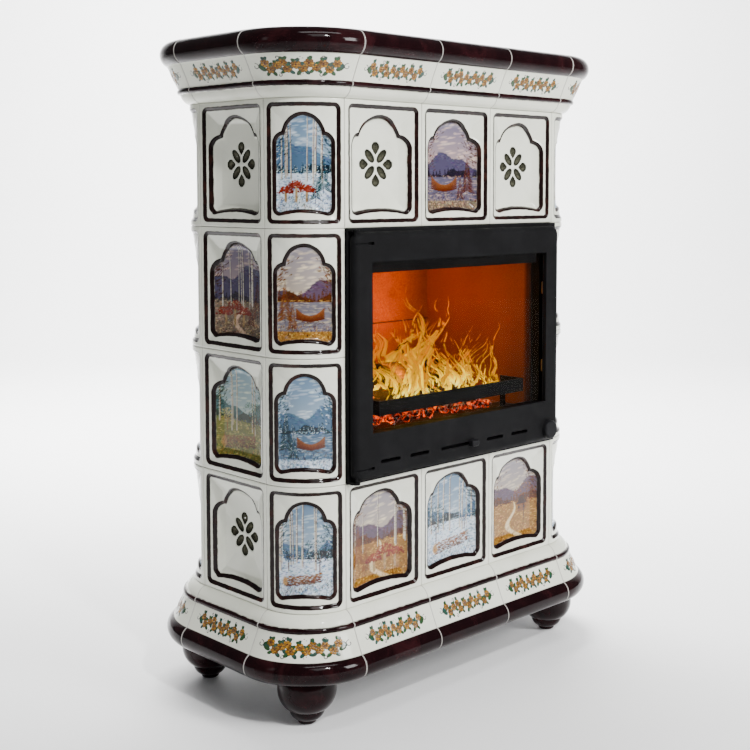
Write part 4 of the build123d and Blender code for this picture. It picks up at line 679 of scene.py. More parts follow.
# ---- materials ----
class Shader:
    """A material and short calls for the nodes it needs."""

    def __init__(self, name, **settings):
        self.material = bpy.data.materials.new(name)
        self.material.use_nodes = True
        self.tree = self.material.node_tree
        self.bsdf = self.tree.nodes["Principled BSDF"]
        for socket, value in settings.items():
            self.bsdf.inputs[socket.replace("_", " ")].default_value = value

    def put(self, socket, value):
        """Links a node's output to a socket, or sets the socket to a plain value."""
        if isinstance(value, bpy.types.NodeSocket):
            self.tree.links.new(value, socket)
        else:
            socket.default_value = value

    def node(self, kind, inputs=(), **settings):
        node = self.tree.nodes.new(kind)
        for key, value in settings.items():
            setattr(node, key, value)
        for key, value in dict(inputs).items():
            self.put(node.inputs[key], value)
        return node

    def value(self, name):
        return self.node("ShaderNodeAttribute", attribute_name=name).outputs["Fac"]

    def colour(self, name):
        return self.node("ShaderNodeAttribute", attribute_name=name).outputs["Color"]

    def place(self):
        return self.node("ShaderNodeTexCoord").outputs["Object"]

    def math(self, operation, a, b=0.0):
        return self.node("ShaderNodeMath", {0: a, 1: b}, operation=operation).outputs[0]

    def plus(self, a, b):
        return self.math("ADD", a, b)

    def times(self, a, b):
        return self.math("MULTIPLY", a, b)

    def minus(self, a, b):
        return self.math("SUBTRACT", a, b)

    def larger(self, a, b):
        return self.math("MAXIMUM", a, b)

    def noise(self, scale, detail=3.0, roughness=0.5, distortion=0.0):
        node = self.node("ShaderNodeTexNoise", {
            "Vector": self.place(), "Scale": scale, "Detail": detail,
            "Roughness": roughness, "Distortion": distortion})
        return node.outputs["Fac"]

    def between(self, value, low, high, out_low=0.0, out_high=1.0):
        node = self.node("ShaderNodeMapRange", {
            "Value": value, "From Min": low, "From Max": high,
            "To Min": out_low, "To Max": out_high}, interpolation_type="SMOOTHSTEP")
        return node.outputs["Result"]

    def mix(self, factor, *colours):
        node = self.node("ShaderNodeMix", {0: factor}, data_type="RGBA")
        for index, colour in zip((6, 7), colours):
            self.put(node.inputs[index], (*colour, 1.0) if isinstance(colour, tuple) else colour)
        return node.outputs[2]

    def ramp(self, factor, *stops):
        node = self.node("ShaderNodeValToRGB", {"Fac": factor})
        elements = node.color_ramp.elements
        while len(elements) < len(stops):
            elements.new(0.5)
        for element, (position, colour) in zip(elements, stops):
            element.position = position
            element.color = (*colour, 1.0)
        return node.outputs["Color"]

    def finish(self, bump=None, **outputs):
        """Links the outputs and a bump of (height, distance, strength), and returns the material."""
        if bump:
            inputs = dict(zip(("Height", "Distance", "Strength"), bump))
            outputs["Normal"] = self.node("ShaderNodeBump", inputs).outputs["Normal"]
        for socket, output in outputs.items():
            self.tree.links.new(output, self.bsdf.inputs[socket.replace("_", " ")])
        return self.material


CREAM, CREAM_POOLED, CREAM_SPECK = (0.71, 0.72, 0.62), (0.47, 0.49, 0.37), (0.42, 0.36, 0.28)
LINE_BROWN, LINE_BROWN_THIN = (0.007, 0.0025, 0.0025), (0.026, 0.0075, 0.0055)
GLAZE_BROWN, GLAZE_BROWN_THIN = (0.006, 0.0014, 0.0020), (0.018, 0.0040, 0.0050)
GROUT = (0.50, 0.48, 0.45)
HOLE_RIM, HOLE = (0.016, 0.016, 0.012), (0.12, 0.118, 0.082)
GARLAND_SHADE = (0.045, 0.016, 0.003)
SOOT = (0.035, 0.012, 0.006)
BLACK = (0.0, 0.0, 0.0)
PAINTED_LINE_WAVER, PAINTED_LINE_SOFT = 2.0 * MM, 0.7 * MM
PICTURE_EDGE = (-3.6 * MM, -2.2 * MM)
TILE_GROUT_EDGE, END_GROUT_EDGE = (0.15 * MM, 0.55 * MM), (0.5 * MM, 1.15 * MM)

SIDE_SOOT_W = 120 * MM
FRONT_SOOT = (bar_low.y + 20 * MM, bar_low.y + 50 * MM)
FLOOR_SOOT = (bar_high.y + 35 * MM, bar_high.y + 50 * MM)
JOINT_EDGE = (1.0 * MM, 2.2 * MM)


def glazed(shader, **outputs):
    """Finishes a material with the gloss and faint waviness of a dipped glaze."""
    waves = shader.plus(shader.noise(22, 2), shader.times(shader.noise(420, 1), 0.12))
    gloss = shader.between(shader.noise(60, 3), 0.3, 0.7, 0.05, 0.12)
    return shader.finish(bump=(waves, 0.0007, 0.35), Roughness=gloss, **outputs)


def cream_colour(shader):
    """Cream glaze with slow drifts of tone and pinhead specks."""
    drift = shader.between(shader.noise(9, 4, 0.6), 0.35, 0.75)
    cream = shader.mix(drift, CREAM, CREAM_POOLED)
    cream = shader.mix(shader.times(drift, 0.35), CREAM, cream)
    return shader.mix(shader.between(shader.noise(900, 1), 0.76, 0.82, 0.0, 0.35), cream, CREAM_SPECK)


def brown_colour(shader, scale, distortion):
    """Near-black brown glaze that thins to red-brown in streaks."""
    streak = shader.between(shader.noise(scale, 5, 0.65, distortion), 0.42, 0.72)
    return shader.mix(streak, GLAZE_BROWN, GLAZE_BROWN_THIN)


def painted_line(shader, distance, low, high):
    """Cover of a hand-drawn line between two distances, with a wavering edge."""
    waver = shader.times(shader.minus(shader.noise(70, 2), 0.5), PAINTED_LINE_WAVER)
    d = shader.plus(distance, waver)
    soft = PAINTED_LINE_SOFT
    rise = shader.between(d, low - soft, low + soft)
    return shader.times(rise, shader.between(d, high - soft, high + soft, 1.0, 0.0))


def tile_glaze():
    """One glaze for every tile: rim, lines, painted or bare niche, grout and hole walls."""
    shader = Shader("tile_glaze", IOR=1.5)
    niche, wall = shader.value("niche"), shader.value("wall")
    inside = shader.between(niche, *PICTURE_EDGE, 1.0, 0.0)
    painted = shader.times(inside, shader.value("painted"))
    colour = shader.mix(painted, cream_colour(shader), shader.colour("paint"))
    outer = painted_line(shader, shader.value("line"), 0.1 * MM, LINE_W - 0.2 * MM)
    inner = painted_line(shader, niche, -NICHE_LINE_W + 0.9 * MM, NICHE_LINE_OUT)
    lines = shader.larger(outer, inner)
    thin = shader.between(shader.noise(30, 3), 0.50, 0.75)
    colour = shader.mix(lines, colour, shader.mix(thin, LINE_BROWN, LINE_BROWN_THIN))
    grout = shader.between(shader.value("rim"), *TILE_GROUT_EDGE, 0.75, 0.0)
    colour = shader.mix(grout, colour, GROUT)
    bore = shader.mix(shader.between(wall, 0.5, 1.0), HOLE_RIM, HOLE)
    gloss = shader.between(wall, 0.02, 0.3, 0.5, 0.0)
    return glazed(
        shader,
        Base_Color=shader.mix(shader.between(wall, 0.04, 0.3), colour, bore),
        Specular_IOR_Level=shader.times(gloss, shader.minus(1.0, shader.times(lines, 0.6))))


def moulding_glaze():
    """Cream moulding with a brown bead and roll, and pale grout at its ends."""
    shader = Shader("moulding_glaze", IOR=1.45, Specular_IOR_Level=0.15)
    rise = shader.value("rise")
    bead_top = OVOLO_H + BEAD_H
    roll_foot = bead_top + BAND_H
    bead = painted_line(shader, rise, OVOLO_H, bead_top)
    roll = shader.between(rise, roll_foot - 0.5 * MM, roll_foot + 0.7 * MM)
    colour = shader.mix(shader.larger(bead, roll), cream_colour(shader), brown_colour(shader, 14, 1.2))
    grout = shader.between(shader.value("end"), *END_GROUT_EDGE, 0.9, 0.0)
    return glazed(shader, Base_Color=shader.mix(grout, colour, GROUT))


def brown_glaze():
    """The feet's glaze."""
    shader = Shader("brown_glaze", IOR=1.45, Specular_IOR_Level=0.15)
    return glazed(shader, Base_Color=brown_colour(shader, 16, 1.0))


def garland_paint():
    """On-glaze colours of the garland, with brushy variation."""
    shader = Shader("garland_paint", IOR=1.5)
    brushed = shader.times(shader.between(shader.noise(260, 2), 0.3, 0.75), 0.45)
    return shader.finish(
        Base_Color=shader.mix(brushed, shader.colour("paint"), GARLAND_SHADE),
        Roughness=shader.between(shader.noise(120, 2), 0.3, 0.7, 0.10, 0.22))


def stove_black(name, colour, rough, grain):
    """Matte stove paint over iron: fine tooth and slow sheen drift."""
    shader = Shader(name, IOR=1.4, Specular_IOR_Level=0.07)
    drift = shader.between(shader.noise(12, 4), 0.35, 0.7)
    return shader.finish(
        Base_Color=shader.mix(drift, colour, tuple(c * 1.35 for c in colour)),
        Roughness=shader.between(shader.noise(35, 4), 0.3, 0.7, *rough),
        bump=(shader.noise(grain, 3), 0.00025, 0.4))


def lining_stone():
    """Fireclay lining: grainy, warm, with a rear joint, sooted to the right, the front and in clouds."""
    shader = Shader("lining_stone", Specular_IOR_Level=0.2)
    grain = shader.noise(260, 4, 0.7)
    clay = shader.ramp(grain, (0.25, (0.34, 0.060, 0.006)), (0.6, (0.58, 0.12, 0.010)),
                       (0.85, (0.70, 0.17, 0.016)))
    x, y, z = shader.node("ShaderNodeSeparateXYZ", {"Vector": shader.place()}).outputs
    on_floor = shader.between(z, floor_z, floor_z + 2 * MM, 1.0, 0.0)
    at_rear = shader.between(y, fire_rear - 2 * MM, fire_rear - 1 * MM)
    from_joint = shader.math("ABSOLUTE", shader.minus(z, REAR_JOINT_Z))
    soot = shader.between(shader.noise(7, 4, 0.6, 0.5), 0.42, 0.72, 0.0, 0.5)
    for cover in (
        shader.between(x, fire_right - SIDE_SOOT_W, fire_right, 0.0, 0.62),
        shader.between(y, *FRONT_SOOT, 0.97, 0.0),
        shader.times(on_floor, shader.between(y, *FLOOR_SOOT, 0.99, 0.0)),
        shader.times(at_rear, shader.between(from_joint, *JOINT_EDGE, 0.97, 0.0)),
    ):
        soot = shader.larger(soot, cover)
    return shader.finish(
        Base_Color=shader.mix(soot, clay, SOOT),
        Roughness=shader.between(grain, 0.2, 0.8, 0.8, 0.95),
        bump=(grain, 0.0012, 0.6))


def bright_steel():
    """Plated fasteners that the heat has dulled, with a faint spangle."""
    shader = Shader("bright_steel", Metallic=1.0)
    spangle = shader.noise(180, 3)
    return shader.finish(
        Base_Color=shader.mix(spangle, (0.11, 0.11, 0.115), (0.19, 0.19, 0.20)),
        Roughness=shader.between(spangle, 0.3, 0.7, 0.40, 0.58))


def rope_fibre():
    """Braided glass-fibre rope."""
    shader = Shader("rope_fibre", Sheen_Weight=0.3)
    wave = {"Vector": shader.place(), "Scale": 260.0, "Distortion": 2.0}
    braid = shader.node("ShaderNodeTexWave", wave, bands_direction="DIAGONAL").outputs["Fac"]
    return shader.finish(
        Base_Color=shader.mix(braid, (0.02, 0.02, 0.02), (0.09, 0.088, 0.085)),
        Roughness=shader.between(braid, 0, 1, 0.75, 0.95),
        bump=(braid, 0.0008, 0.6))


def stove_glass():
    """Clear fire-proof glass with a faint film of soot in clouds."""
    shader = Shader("stove_glass", IOR=1.07, Transmission_Weight=1.0, Roughness=0.0)
    film = shader.between(shader.noise(9, 3), 0.45, 0.8)
    return shader.finish(Base_Color=shader.mix(film, (0.97, 0.96, 0.94), (0.86, 0.83, 0.78)))


def flame_light():
    """Flame: yellow at its root, then orange, thin at its edges and torn by the draught."""
    shader = Shader("flame_light", Roughness=1.0, Specular_IOR_Level=0.0)
    height = shader.value("height")
    flicker = shader.times(shader.minus(shader.noise(26, 3), 0.5), 0.5)
    lick = shader.plus(height, flicker)
    body = shader.between(shader.value("across"), 0.0, 1.0, 0.95, 0.0)
    torn = shader.between(shader.noise(48, 3, 0.6, 0.8), 0.44, 0.54)
    return shader.finish(
        Base_Color=shader.mix(height, (0.02, 0.006, 0.0), (0.01, 0.002, 0.0)),
        Emission_Color=shader.ramp(lick, (0.0, (1.0, 0.82, 0.14)), (0.14, (1.0, 0.60, 0.0)),
                                   (0.5, (1.0, 0.42, 0.0)), (1.0, (1.0, 0.20, 0.0))),
        Emission_Strength=shader.between(lick, -0.05, 0.5, 3.0, 0.85),
        Alpha=shader.times(body, torn))


def ember_glow():
    """Charcoal with ash on it and fire in its cracks."""
    shader = Shader("ember_glow", Roughness=0.95, Specular_IOR_Level=0.1)
    cracks = shader.noise(85, 4, 0.65, 0.8)
    ash = shader.between(shader.noise(140, 3), 0.5, 0.66)
    return shader.finish(
        Base_Color=shader.mix(ash, (0.02, 0.012, 0.01), (0.42, 0.38, 0.36)),
        Emission_Color=shader.ramp(cracks, (0.42, BLACK), (0.52, (0.8, 0.02, 0.001)),
                                   (0.68, (1.0, 0.16, 0.006))),
        Emission_Strength=shader.between(cracks, 0.44, 0.7, 0.0, 2.6))


def charred_bark():
    """Log burnt black, checked along the grain, glowing in its splits."""
    shader = Shader("charred_bark", Roughness=0.9, Specular_IOR_Level=0.15)
    checks = shader.noise(45, 5, 0.7, 1.5)
    return shader.finish(
        Base_Color=shader.ramp(checks, (0.3, (0.008, 0.006, 0.005)), (0.7, (0.06, 0.035, 0.022))),
        Emission_Color=shader.ramp(checks, (0.56, BLACK), (0.70, (1.0, 0.16, 0.01))),
        Emission_Strength=shader.between(checks, 0.56, 0.74, 0.0, 2.2),
        bump=(checks, 0.004, 0.8))


def pale_stage():
    """Pale floor with the least unevenness."""
    shader = Shader("pale_stage", Roughness=0.7, Specular_IOR_Level=0.2)
    drift = shader.noise(2, 2)
    return shader.finish(Base_Color=shader.mix(drift, (0.90, 0.90, 0.90), (0.93, 0.93, 0.93)))


# ---- mouldings ----
def moulding_profile():
    """Visible outline of the cornice: (reach out, rise from the tile field), foot to crest."""
    bead_z = OVOLO_H + BEAD_H
    band_z = bead_z + BAND_H
    ovolo_top, bead_top = (OVOLO_REACH, OVOLO_H), (OVOLO_REACH + BAND_FOOT_OUT, bead_z)
    band_top, crest = (BAND_REACH, band_z), (CREST_REACH, MOULDING_H)
    ovolo_middle = (0.68 * OVOLO_REACH, 0.44 * OVOLO_H)
    bead_middle = (BEAD_REACH, OVOLO_H + BEAD_H / 2)
    band_middle = (OVOLO_REACH + BAND_MIDDLE_OUT, bead_z + 0.55 * BAND_H)
    torus_middle = (TORUS_REACH, (band_z + MOULDING_H) / 2)
    outline = three_point_arc((0, 0), ovolo_middle, ovolo_top, 18)
    outline += three_point_arc(ovolo_top, bead_middle, bead_top, 9)[1:]
    outline += three_point_arc(bead_top, band_middle, band_top, 22)[1:]
    outline += three_point_arc(band_top, torus_middle, crest, 36)[1:]
    return np.asarray(outline)


PROFILE = moulding_profile()
# distance from a moulding's end, and how far its surface is drawn in there
SEAM_ROWS = ((0.0, 1.0 * MM), (0.4 * MM, 0.4 * MM), (1.0 * MM, 0.08 * MM), (2.0 * MM, 0.0))


def profile_normals():
    """Outward direction at each profile point."""
    step = np.gradient(PROFILE, axis=0)
    normal = np.stack([step[:, 1], -step[:, 0]], -1)
    return normal / np.linalg.norm(normal, axis=1)[:, None]


NORMALS = profile_normals()


def build_moulding(name, node, length, place, joint_z, rise, stations):
    """One closed moulding; place maps (along, up, depth) and rise is +1 for cornice, -1 for plinth."""
    seam_end = SEAM_ROWS[-1][0]
    inner = np.linspace(seam_end, length - seam_end, stations)[1:-1]
    rows = [*SEAM_ROWS, *((s, 0.0) for s in inner)]
    rows += [(length - s, inset) for s, inset in SEAM_ROWS[::-1]]
    seat = SEAT_DEPTH if rise > 0 else 0.0
    tail = [(SEAT_REACH, MOULDING_H), (SEAT_REACH, MOULDING_H - seat),
            (-MOULDING_INSET, MOULDING_H - seat), (-MOULDING_INSET, 0.0)]
    if rise < 0:
        tail = tail[2:]
    points, ends, rises = [], [], []
    for s, inset in rows:
        ring = np.concatenate([PROFILE - NORMALS * inset, np.asarray(tail)])
        count = len(ring)
        points.append(place(np.full(count, s - length / 2), joint_z + rise * ring[:, 1], -ring[:, 0]))
        ends.append(np.full(count, min(s, length - s)))
        rises.append(ring[:, 1])
    points = np.concatenate(points)
    count = len(PROFILE) + len(tail)
    faces = []
    for r in range(len(rows) - 1):
        for k in range(count):
            a, b = r * count + k, r * count + (k + 1) % count
            quad = (a, a + count, b + count, b)
            faces.append(quad if rise > 0 else quad[::-1])
    first = list(range(count))
    last = [(len(rows) - 1) * count + k for k in range(count)]
    faces.append(first if rise > 0 else first[::-1])
    faces.append(last[::-1] if rise > 0 else last)
    floats = {"end": np.concatenate(ends), "rise": np.concatenate(rises)}
    piece = mesh_piece(name, points, faces, moulding_material, floats)
    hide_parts(node)


# ---- garland ----
YELLOW, AMBER, RUST = (0.42, 0.20, 0.006), (0.085, 0.022, 0.003), (0.05, 0.010, 0.002)
GREEN, TEAL, CURL = (0.005, 0.034, 0.010), (0.004, 0.032, 0.024), (0.03, 0.034, 0.034)
PETAL_LIGHTS = (0.45, 0.7, 1.0, 1.5)
PETAL_RINGS = ((6, 0.62, 0.40, 0.5 * MM), (4, 0.30, 0.29, 0.85 * MM))  # petals, reach, size, lift
DOME_RINGS = ((1.0, 0.0), (0.72, 0.62), (0.35, 0.95))
LEAF_LEANS = ((-1, -0.8), (-1, 0.8), (1, -0.6), (1, 0.7))
# where each rose sits: share of the half length, and millimetres above the band's middle
ROSE_SPOTS = ((-1.0, 5.5), (-0.86, -4.8), (-0.66, 1.6), (-0.47, 5.8), (-0.36, -4.4), (-0.14, 2.2),
              (0.07, -3.8), (0.24, 4.6), (0.42, -2.4), (0.62, 3.8), (0.82, -5.0), (1.0, 4.8))
ROSE_SWING = 1.05
GARLAND_SUNK = 0.12 * MM


class Garland:
    """Flowers, leaves and curls gathered on a band, each a low closed relief."""

    def __init__(self, seed):
        self.rng = random.Random(seed)
        self.points, self.faces, self.paint = [], [], []

    def dome(self, x, y, rx, ry, angle, height, rim, heart, sides=12):
        """A low dome with its own rim and heart colours."""
        start = len(self.points)
        c, s = cos(angle), sin(angle)
        for share, lift in DOME_RINGS:
            for k in range(sides):
                a = 2 * pi * k / sides
                u, v = share * rx * cos(a), share * ry * sin(a)
                self.points.append((x + c * u - s * v, y + s * u + c * v, lift * height))
                self.paint.append([q * share + p * (1 - share) for q, p in zip(rim, heart)])
        self.points.append((x, y, height))
        self.paint.append(heart)
        *around, foot, crown = tube_faces(start, len(DOME_RINGS), sides)
        top = crown[-1] + 1
        self.faces += around + [(a, b, top) for a, b in zip(crown, crown[1:] + crown[:1])] + [foot]

    def flower(self, x, y, r):
        """A full rose: two rings of round petals about a dark heart."""
        turn = self.rng.uniform(0, 1.2)
        for petals, out, size, lift in PETAL_RINGS:
            turn += 0.6
            for k in range(petals):
                a = turn + 2 * pi * k / petals
                light = self.rng.choice(PETAL_LIGHTS)
                self.dome(x + out * r * cos(a), y + out * r * sin(a), 0.86 * size * r, size * r,
                          a, lift + 0.04 * MM * k, AMBER, [c * light for c in YELLOW])
        self.dome(x, y, 0.25 * r, 0.25 * r, 0, 1.15 * MM, RUST, RUST, 8)

    def leaf(self, x, y, length, angle):
        """A pointed leaf as a long dome."""
        tone = GREEN if self.rng.random() < 0.6 else TEAL
        self.dome(x + 0.5 * length * cos(angle), y + 0.5 * length * sin(angle),
                  0.55 * length, 0.34 * length, angle, 0.45 * MM, tone, [c * 2.2 for c in tone], 10)

    def curl(self, x, y, r, hand, start):
        """A thin tendril that winds in on itself."""
        for k in range(26):
            t = k / 25
            a = start + hand * t * 5.2
            q = r * (1 - 0.62 * t)
            self.dome(x + q * cos(a), y + q * sin(a), 1.5 * MM, 1.0 * MM,
                      a + pi / 2, 0.18 * MM, CURL, CURL, 6)

    def fill(self, half):
        """Roses that wander along the band, leaves in their gaps, curls at the ends, dots between."""
        spots = [(x * half, ROSE_SWING * y * MM) for x, y in ROSE_SPOTS]
        for x, y in spots:
            for hand, lean in LEAF_LEANS:
                a = hand * pi / 2 + lean + self.rng.uniform(-0.3, 0.3)
                self.leaf(x + lean * 3 * MM, y + hand * 3 * MM, self.rng.uniform(9, 11) * MM, a)
        for hand in (-1, 1):
            for lift in (-7, 0, 6):
                a = (0 if hand > 0 else pi) - hand * 0.08 * lift
                self.leaf(hand * half, lift * MM, 14 * MM, a)
        for x, y in spots:
            self.flower(x + self.rng.uniform(-1, 1) * MM, y, self.rng.uniform(7.4, 8.4) * MM)
        for hand in (-1, 1):
            self.curl(hand * (half + 17 * MM), 1 * MM, 5.6 * MM, hand, pi / 2)
            self.curl(hand * (half * 0.62), 14.5 * MM, 3.4 * MM, -hand, -pi / 2)
            self.curl(hand * (half * 0.6), -15 * MM, 3.4 * MM, hand, pi / 2)
        for out in (-1, 1):
            for k in (-1, 0, 1):
                self.dome(k * 3.4 * MM, out * (15.5 - 2.5 * abs(k)) * MM, 1 * MM, 1 * MM, 0, 0.3 * MM,
                          CURL, CURL, 6)


def band_point(t):
    """The flower band at height t above or below its middle: reach, rise and normal."""
    rise = OVOLO_H + BEAD_H + BAND_H / 2 + t
    reach, out, up = (np.interp(rise, PROFILE[:, 1], v) for v in (PROFILE[:, 0], *NORMALS.T))
    return reach, rise, out, up


def build_garland(name, place, joint_z, rise_sign, half, seed):
    """A garland laid on the band of one moulding."""
    garland = Garland(seed)
    garland.fill(half)
    along, across, lift = np.asarray(garland.points).T
    reach, rise, normal_out, normal_up = band_point(across * rise_sign)
    lift = lift - GARLAND_SUNK
    points = place(along, joint_z + rise_sign * (rise + normal_up * lift), -(reach + normal_out * lift))
    colours = {"paint": np.asarray(garland.paint)}
    mesh_piece(name, points, garland.faces, garland_material, None, colours)


# ---- build the tile skin ----
tile_material = tile_glaze()
moulding_material = moulding_glaze()
garland_material = garland_paint()
ROUND_W = CORNER_R * pi / 2
FLAT = TileForm(TILE_W, FLAT_NICHE_HALF_W, FLAT_SLOPE)
CORNER = TileForm(ROUND_W, CORNER_NICHE_HALF_W, CORNER_SLOPE)
FLAT_HALF_GARLAND, ROUND_HALF_GARLAND = 60 * MM, 50 * MM
FLAT_STATIONS, ROUND_STATIONS = 6, 40
ROW_NAMES = ("bottom", "lower", "upper", "top")
COLUMN_NAMES = ("left", "middle", "right")
FRONT, REAR = ((1, 0, 0), (0, -1, 0)), ((-1, 0, 0), (0, 1, 0))
SIDES = {"left": ((0, -1, 0), (-1, 0, 0), -HALF_X), "right": ((0, 1, 0), (1, 0, 0), HALF_X)}
FRONT_SCENES = {
    ("top", 1): ("dusk", "lake"),
    ("bottom", 0): ("autumn", "stream"),
    ("bottom", 1): ("winter", "hill"),
    ("bottom", 2): ("autumn", "cottage"),
}
SIDE_SCENES = {"lower": ("summer", "hill"), "upper": ("dusk", "stream")}
SIDE_SEEDS = {"left": 50, "right": 60}
CORNER_SCENES = (("winter", "hill"), ("winter", "lake"), ("autumn", "lake"), ("winter", "stream"))


def row_middle(row):
    """Height of a tile row's middle."""
    return TILES_Z + (row + 0.5) * TILE_H


def column_middle(column):
    """Sideways place of a front tile's middle."""
    return -HALF_FLAT_X + (column + 0.5) * TILE_W


def build_flat_tile(node, place, scene, seed):
    """A flat tile, painted where it has a scene and pierced where it has none."""
    picture = landscape(*scene, seed=seed) if scene else None
    build_tile(f"glazed_{node}", node, FLAT, place, picture)


for row in (0, ROWS - 1):
    for column, column_name in enumerate(COLUMN_NAMES):
        place = flat_wall((column_middle(column), FRONT_Y, row_middle(row)), *FRONT)
        scene = FRONT_SCENES.get((ROW_NAMES[row], column))
        build_flat_tile(f"front_tile_{ROW_NAMES[row]}_{column_name}", place, scene, 10 * row + column)

for side, (right, out, wall_x) in SIDES.items():
    for row, row_name in enumerate(ROW_NAMES):
        place = flat_wall((wall_x, 0, row_middle(row)), right, out)
        scene, seed = SIDE_SCENES.get(row_name), SIDE_SEEDS[side] + row
        build_flat_tile(f"{side}_tile_{row_name}", place, scene, seed)

for index, (corner, (cx, cy, angle)) in enumerate(CORNERS.items()):
    for row, row_name in enumerate(ROW_NAMES):
        place = round_wall(cx, cy, angle, row_middle(row))
        picture = landscape(*CORNER_SCENES[(row + index) % ROWS], seed=100 + 10 * index + row)
        node = f"corner_tiles_{corner}"
        build_tile(f"glazed_corner_{corner}_{row_name}", node, CORNER, place, picture)

for ring, joint_z, rise in (("cornice", CORNICE_Z, 1), ("plinth", TILES_Z, -1)):
    runs = []
    for column in range(len(COLUMN_NAMES)):
        for wall, y, facing in (("front", -HALF_Y, FRONT), ("rear", HALF_Y, REAR)):
            runs.append((f"{ring}_{wall}", flat_wall((column_middle(column), y, 0), *facing), column))
    for index, (right, out, wall_x) in enumerate(SIDES.values()):
        runs.append((f"{ring}_sides", flat_wall((wall_x, 0, 0), right, out), index))
    for node, place, k in runs:
        build_moulding(f"glazed_{node}_{k}", node, TILE_W - SEAM, place, joint_z, rise, FLAT_STATIONS)
        build_garland(f"garland_{node}_{k}", place, joint_z, rise, FLAT_HALF_GARLAND, 7 * k + rise + 3)
    for k, (corner, (cx, cy, angle)) in enumerate(CORNERS.items()):
        place = round_wall(cx, cy, angle, 0)
        build_moulding(f"glazed_{ring}_corner_{corner}", f"{ring}_corners", ROUND_W - SEAM, place,
                       joint_z, rise, ROUND_STATIONS)
        build_garland(f"garland_{ring}_corner_{corner}", place, joint_z, rise, ROUND_HALF_GARLAND,
                      40 + k + rise)


# ---- fire ----
FIRE_MIDDLE_Y = (bar_high.y + fire_rear) / 2
FLAME_STEPS, FLAME_SIDES, FLAME_FLATNESS = 24, 8, 0.3
FLAME_ROOT_X = (fire_left + 20 * MM, fire_right - 20 * MM)
FLAME_ROOT_Y = (bar_high.y + 15 * MM, fire_rear - 60 * MM)
FLAME_ROOT_Z = (floor_z + 20 * MM, floor_z + 60 * MM)
FLAME_X = (fire_left + 8 * MM, fire_right - 8 * MM)
DRAUGHT_SEED, DRAUGHT_SCALE, DRAUGHT_FROM = 4, 15.0, Vector((5.0, 0, 0))
EMBER_X = (fire_left + 45 * MM, fire_right - 70 * MM)
EMBER_Y = (bar_low.y + 62 * MM, FIRE_MIDDLE_Y + 60 * MM)
LOG_R = 30 * MM
LOG_STEPS, LOG_SIDES = 26, 28
LOG_Z, UPPER_LOG_Z = floor_z + LOG_R, floor_z + 2.7 * LOG_R
LUMP_RINGS, LUMP_SIDES = ((0.6, -0.7), (1.0, 0.0), (0.65, 0.65)), 7
noise.seed_set(DRAUGHT_SEED)


def clamp(value, low, high):
    """The value, kept between two others."""
    return min(max(value, low), high)


def drift(point):
    """Sideways pull of the hot air: neighbours in space are pulled alike."""
    q = point * DRAUGHT_SCALE + DRAUGHT_FROM
    return noise.noise_vector(q) + 0.45 * noise.noise_vector(q * 2.4)


def build_flames(name, count, seed, heights, half_widths, middle, spread, material):
    """Tongues and threads of flame that follow one swirling draught up from the logs."""
    rng = random.Random(seed)
    points, faces, values = [], [], []
    for _ in range(count):
        x = clamp(rng.gauss(middle, spread), *FLAME_ROOT_X)
        at = Vector((x, rng.uniform(*FLAME_ROOT_Y), rng.uniform(*FLAME_ROOT_Z)))
        tall = rng.uniform(*heights) * exp(-(((x - middle) / 0.2) ** 2))
        wide = rng.uniform(*half_widths)
        path = []
        for k in range(FLAME_STEPS):
            t = k / (FLAME_STEPS - 1)
            swell = 0.3 + 0.7 * sin(min(1, t * 2.4) * pi / 2)
            path.append((t, at.copy(), wide * swell * (1 - t) ** 0.8 + 0.15 * MM))
            pull = drift(at)
            heading = Vector((3.2 * pull.x, 0.8 * pull.y, 1.0 + 0.7 * pull.z)).normalized()
            at = at + heading * tall / (FLAME_STEPS - 1)
            at.x = clamp(at.x, *FLAME_X)
        turn = rng.uniform(-0.5, 0.5) + pi / 4
        faces += tube_faces(len(points), FLAME_STEPS, FLAME_SIDES)
        for t, centre, radius in path:
            c, s = cos(turn + 0.8 * t), sin(turn + 0.8 * t)
            for a in np.arange(FLAME_SIDES) * 2 * pi / FLAME_SIDES:
                u, v = radius * cos(a), radius * FLAME_FLATNESS * sin(a)
                points.append((centre.x + c * u - s * v, centre.y + s * u + c * v, centre.z))
                values.append((t, abs(cos(a)) ** 3))
    height, across = np.asarray(values).T
    mesh_piece(name, points, faces, material, {"height": height, "across": across})


def build_log(name, start, end, radius, seed, material):
    """A split log: a tube whose surface is ridged along its length."""
    rng = random.Random(seed)
    start, end = Vector(start), Vector(end)
    axis = (end - start).normalized()
    side = axis.cross(Vector((0, 0, 1))).normalized()
    up = side.cross(axis)
    ridges = [rng.uniform(-1, 1) for _ in range(LOG_SIDES)]
    points = []
    for k in range(LOG_STEPS):
        t = k / (LOG_STEPS - 1)
        taper = 1 if 0 < k < LOG_STEPS - 1 else 0.9
        for s, ridge in enumerate(ridges):
            a = 2 * pi * s / LOG_SIDES
            lumps = 0.07 * ridge + 0.05 * sin(9 * t + 2 * a) + rng.uniform(-0.02, 0.02)
            r = radius * taper * (1 + lumps)
            points.append(tuple(start.lerp(end, t) + side * r * cos(a) + up * r * 0.85 * sin(a)))
    mesh_piece(name, points, tube_faces(0, LOG_STEPS, LOG_SIDES, clockwise=True), material)


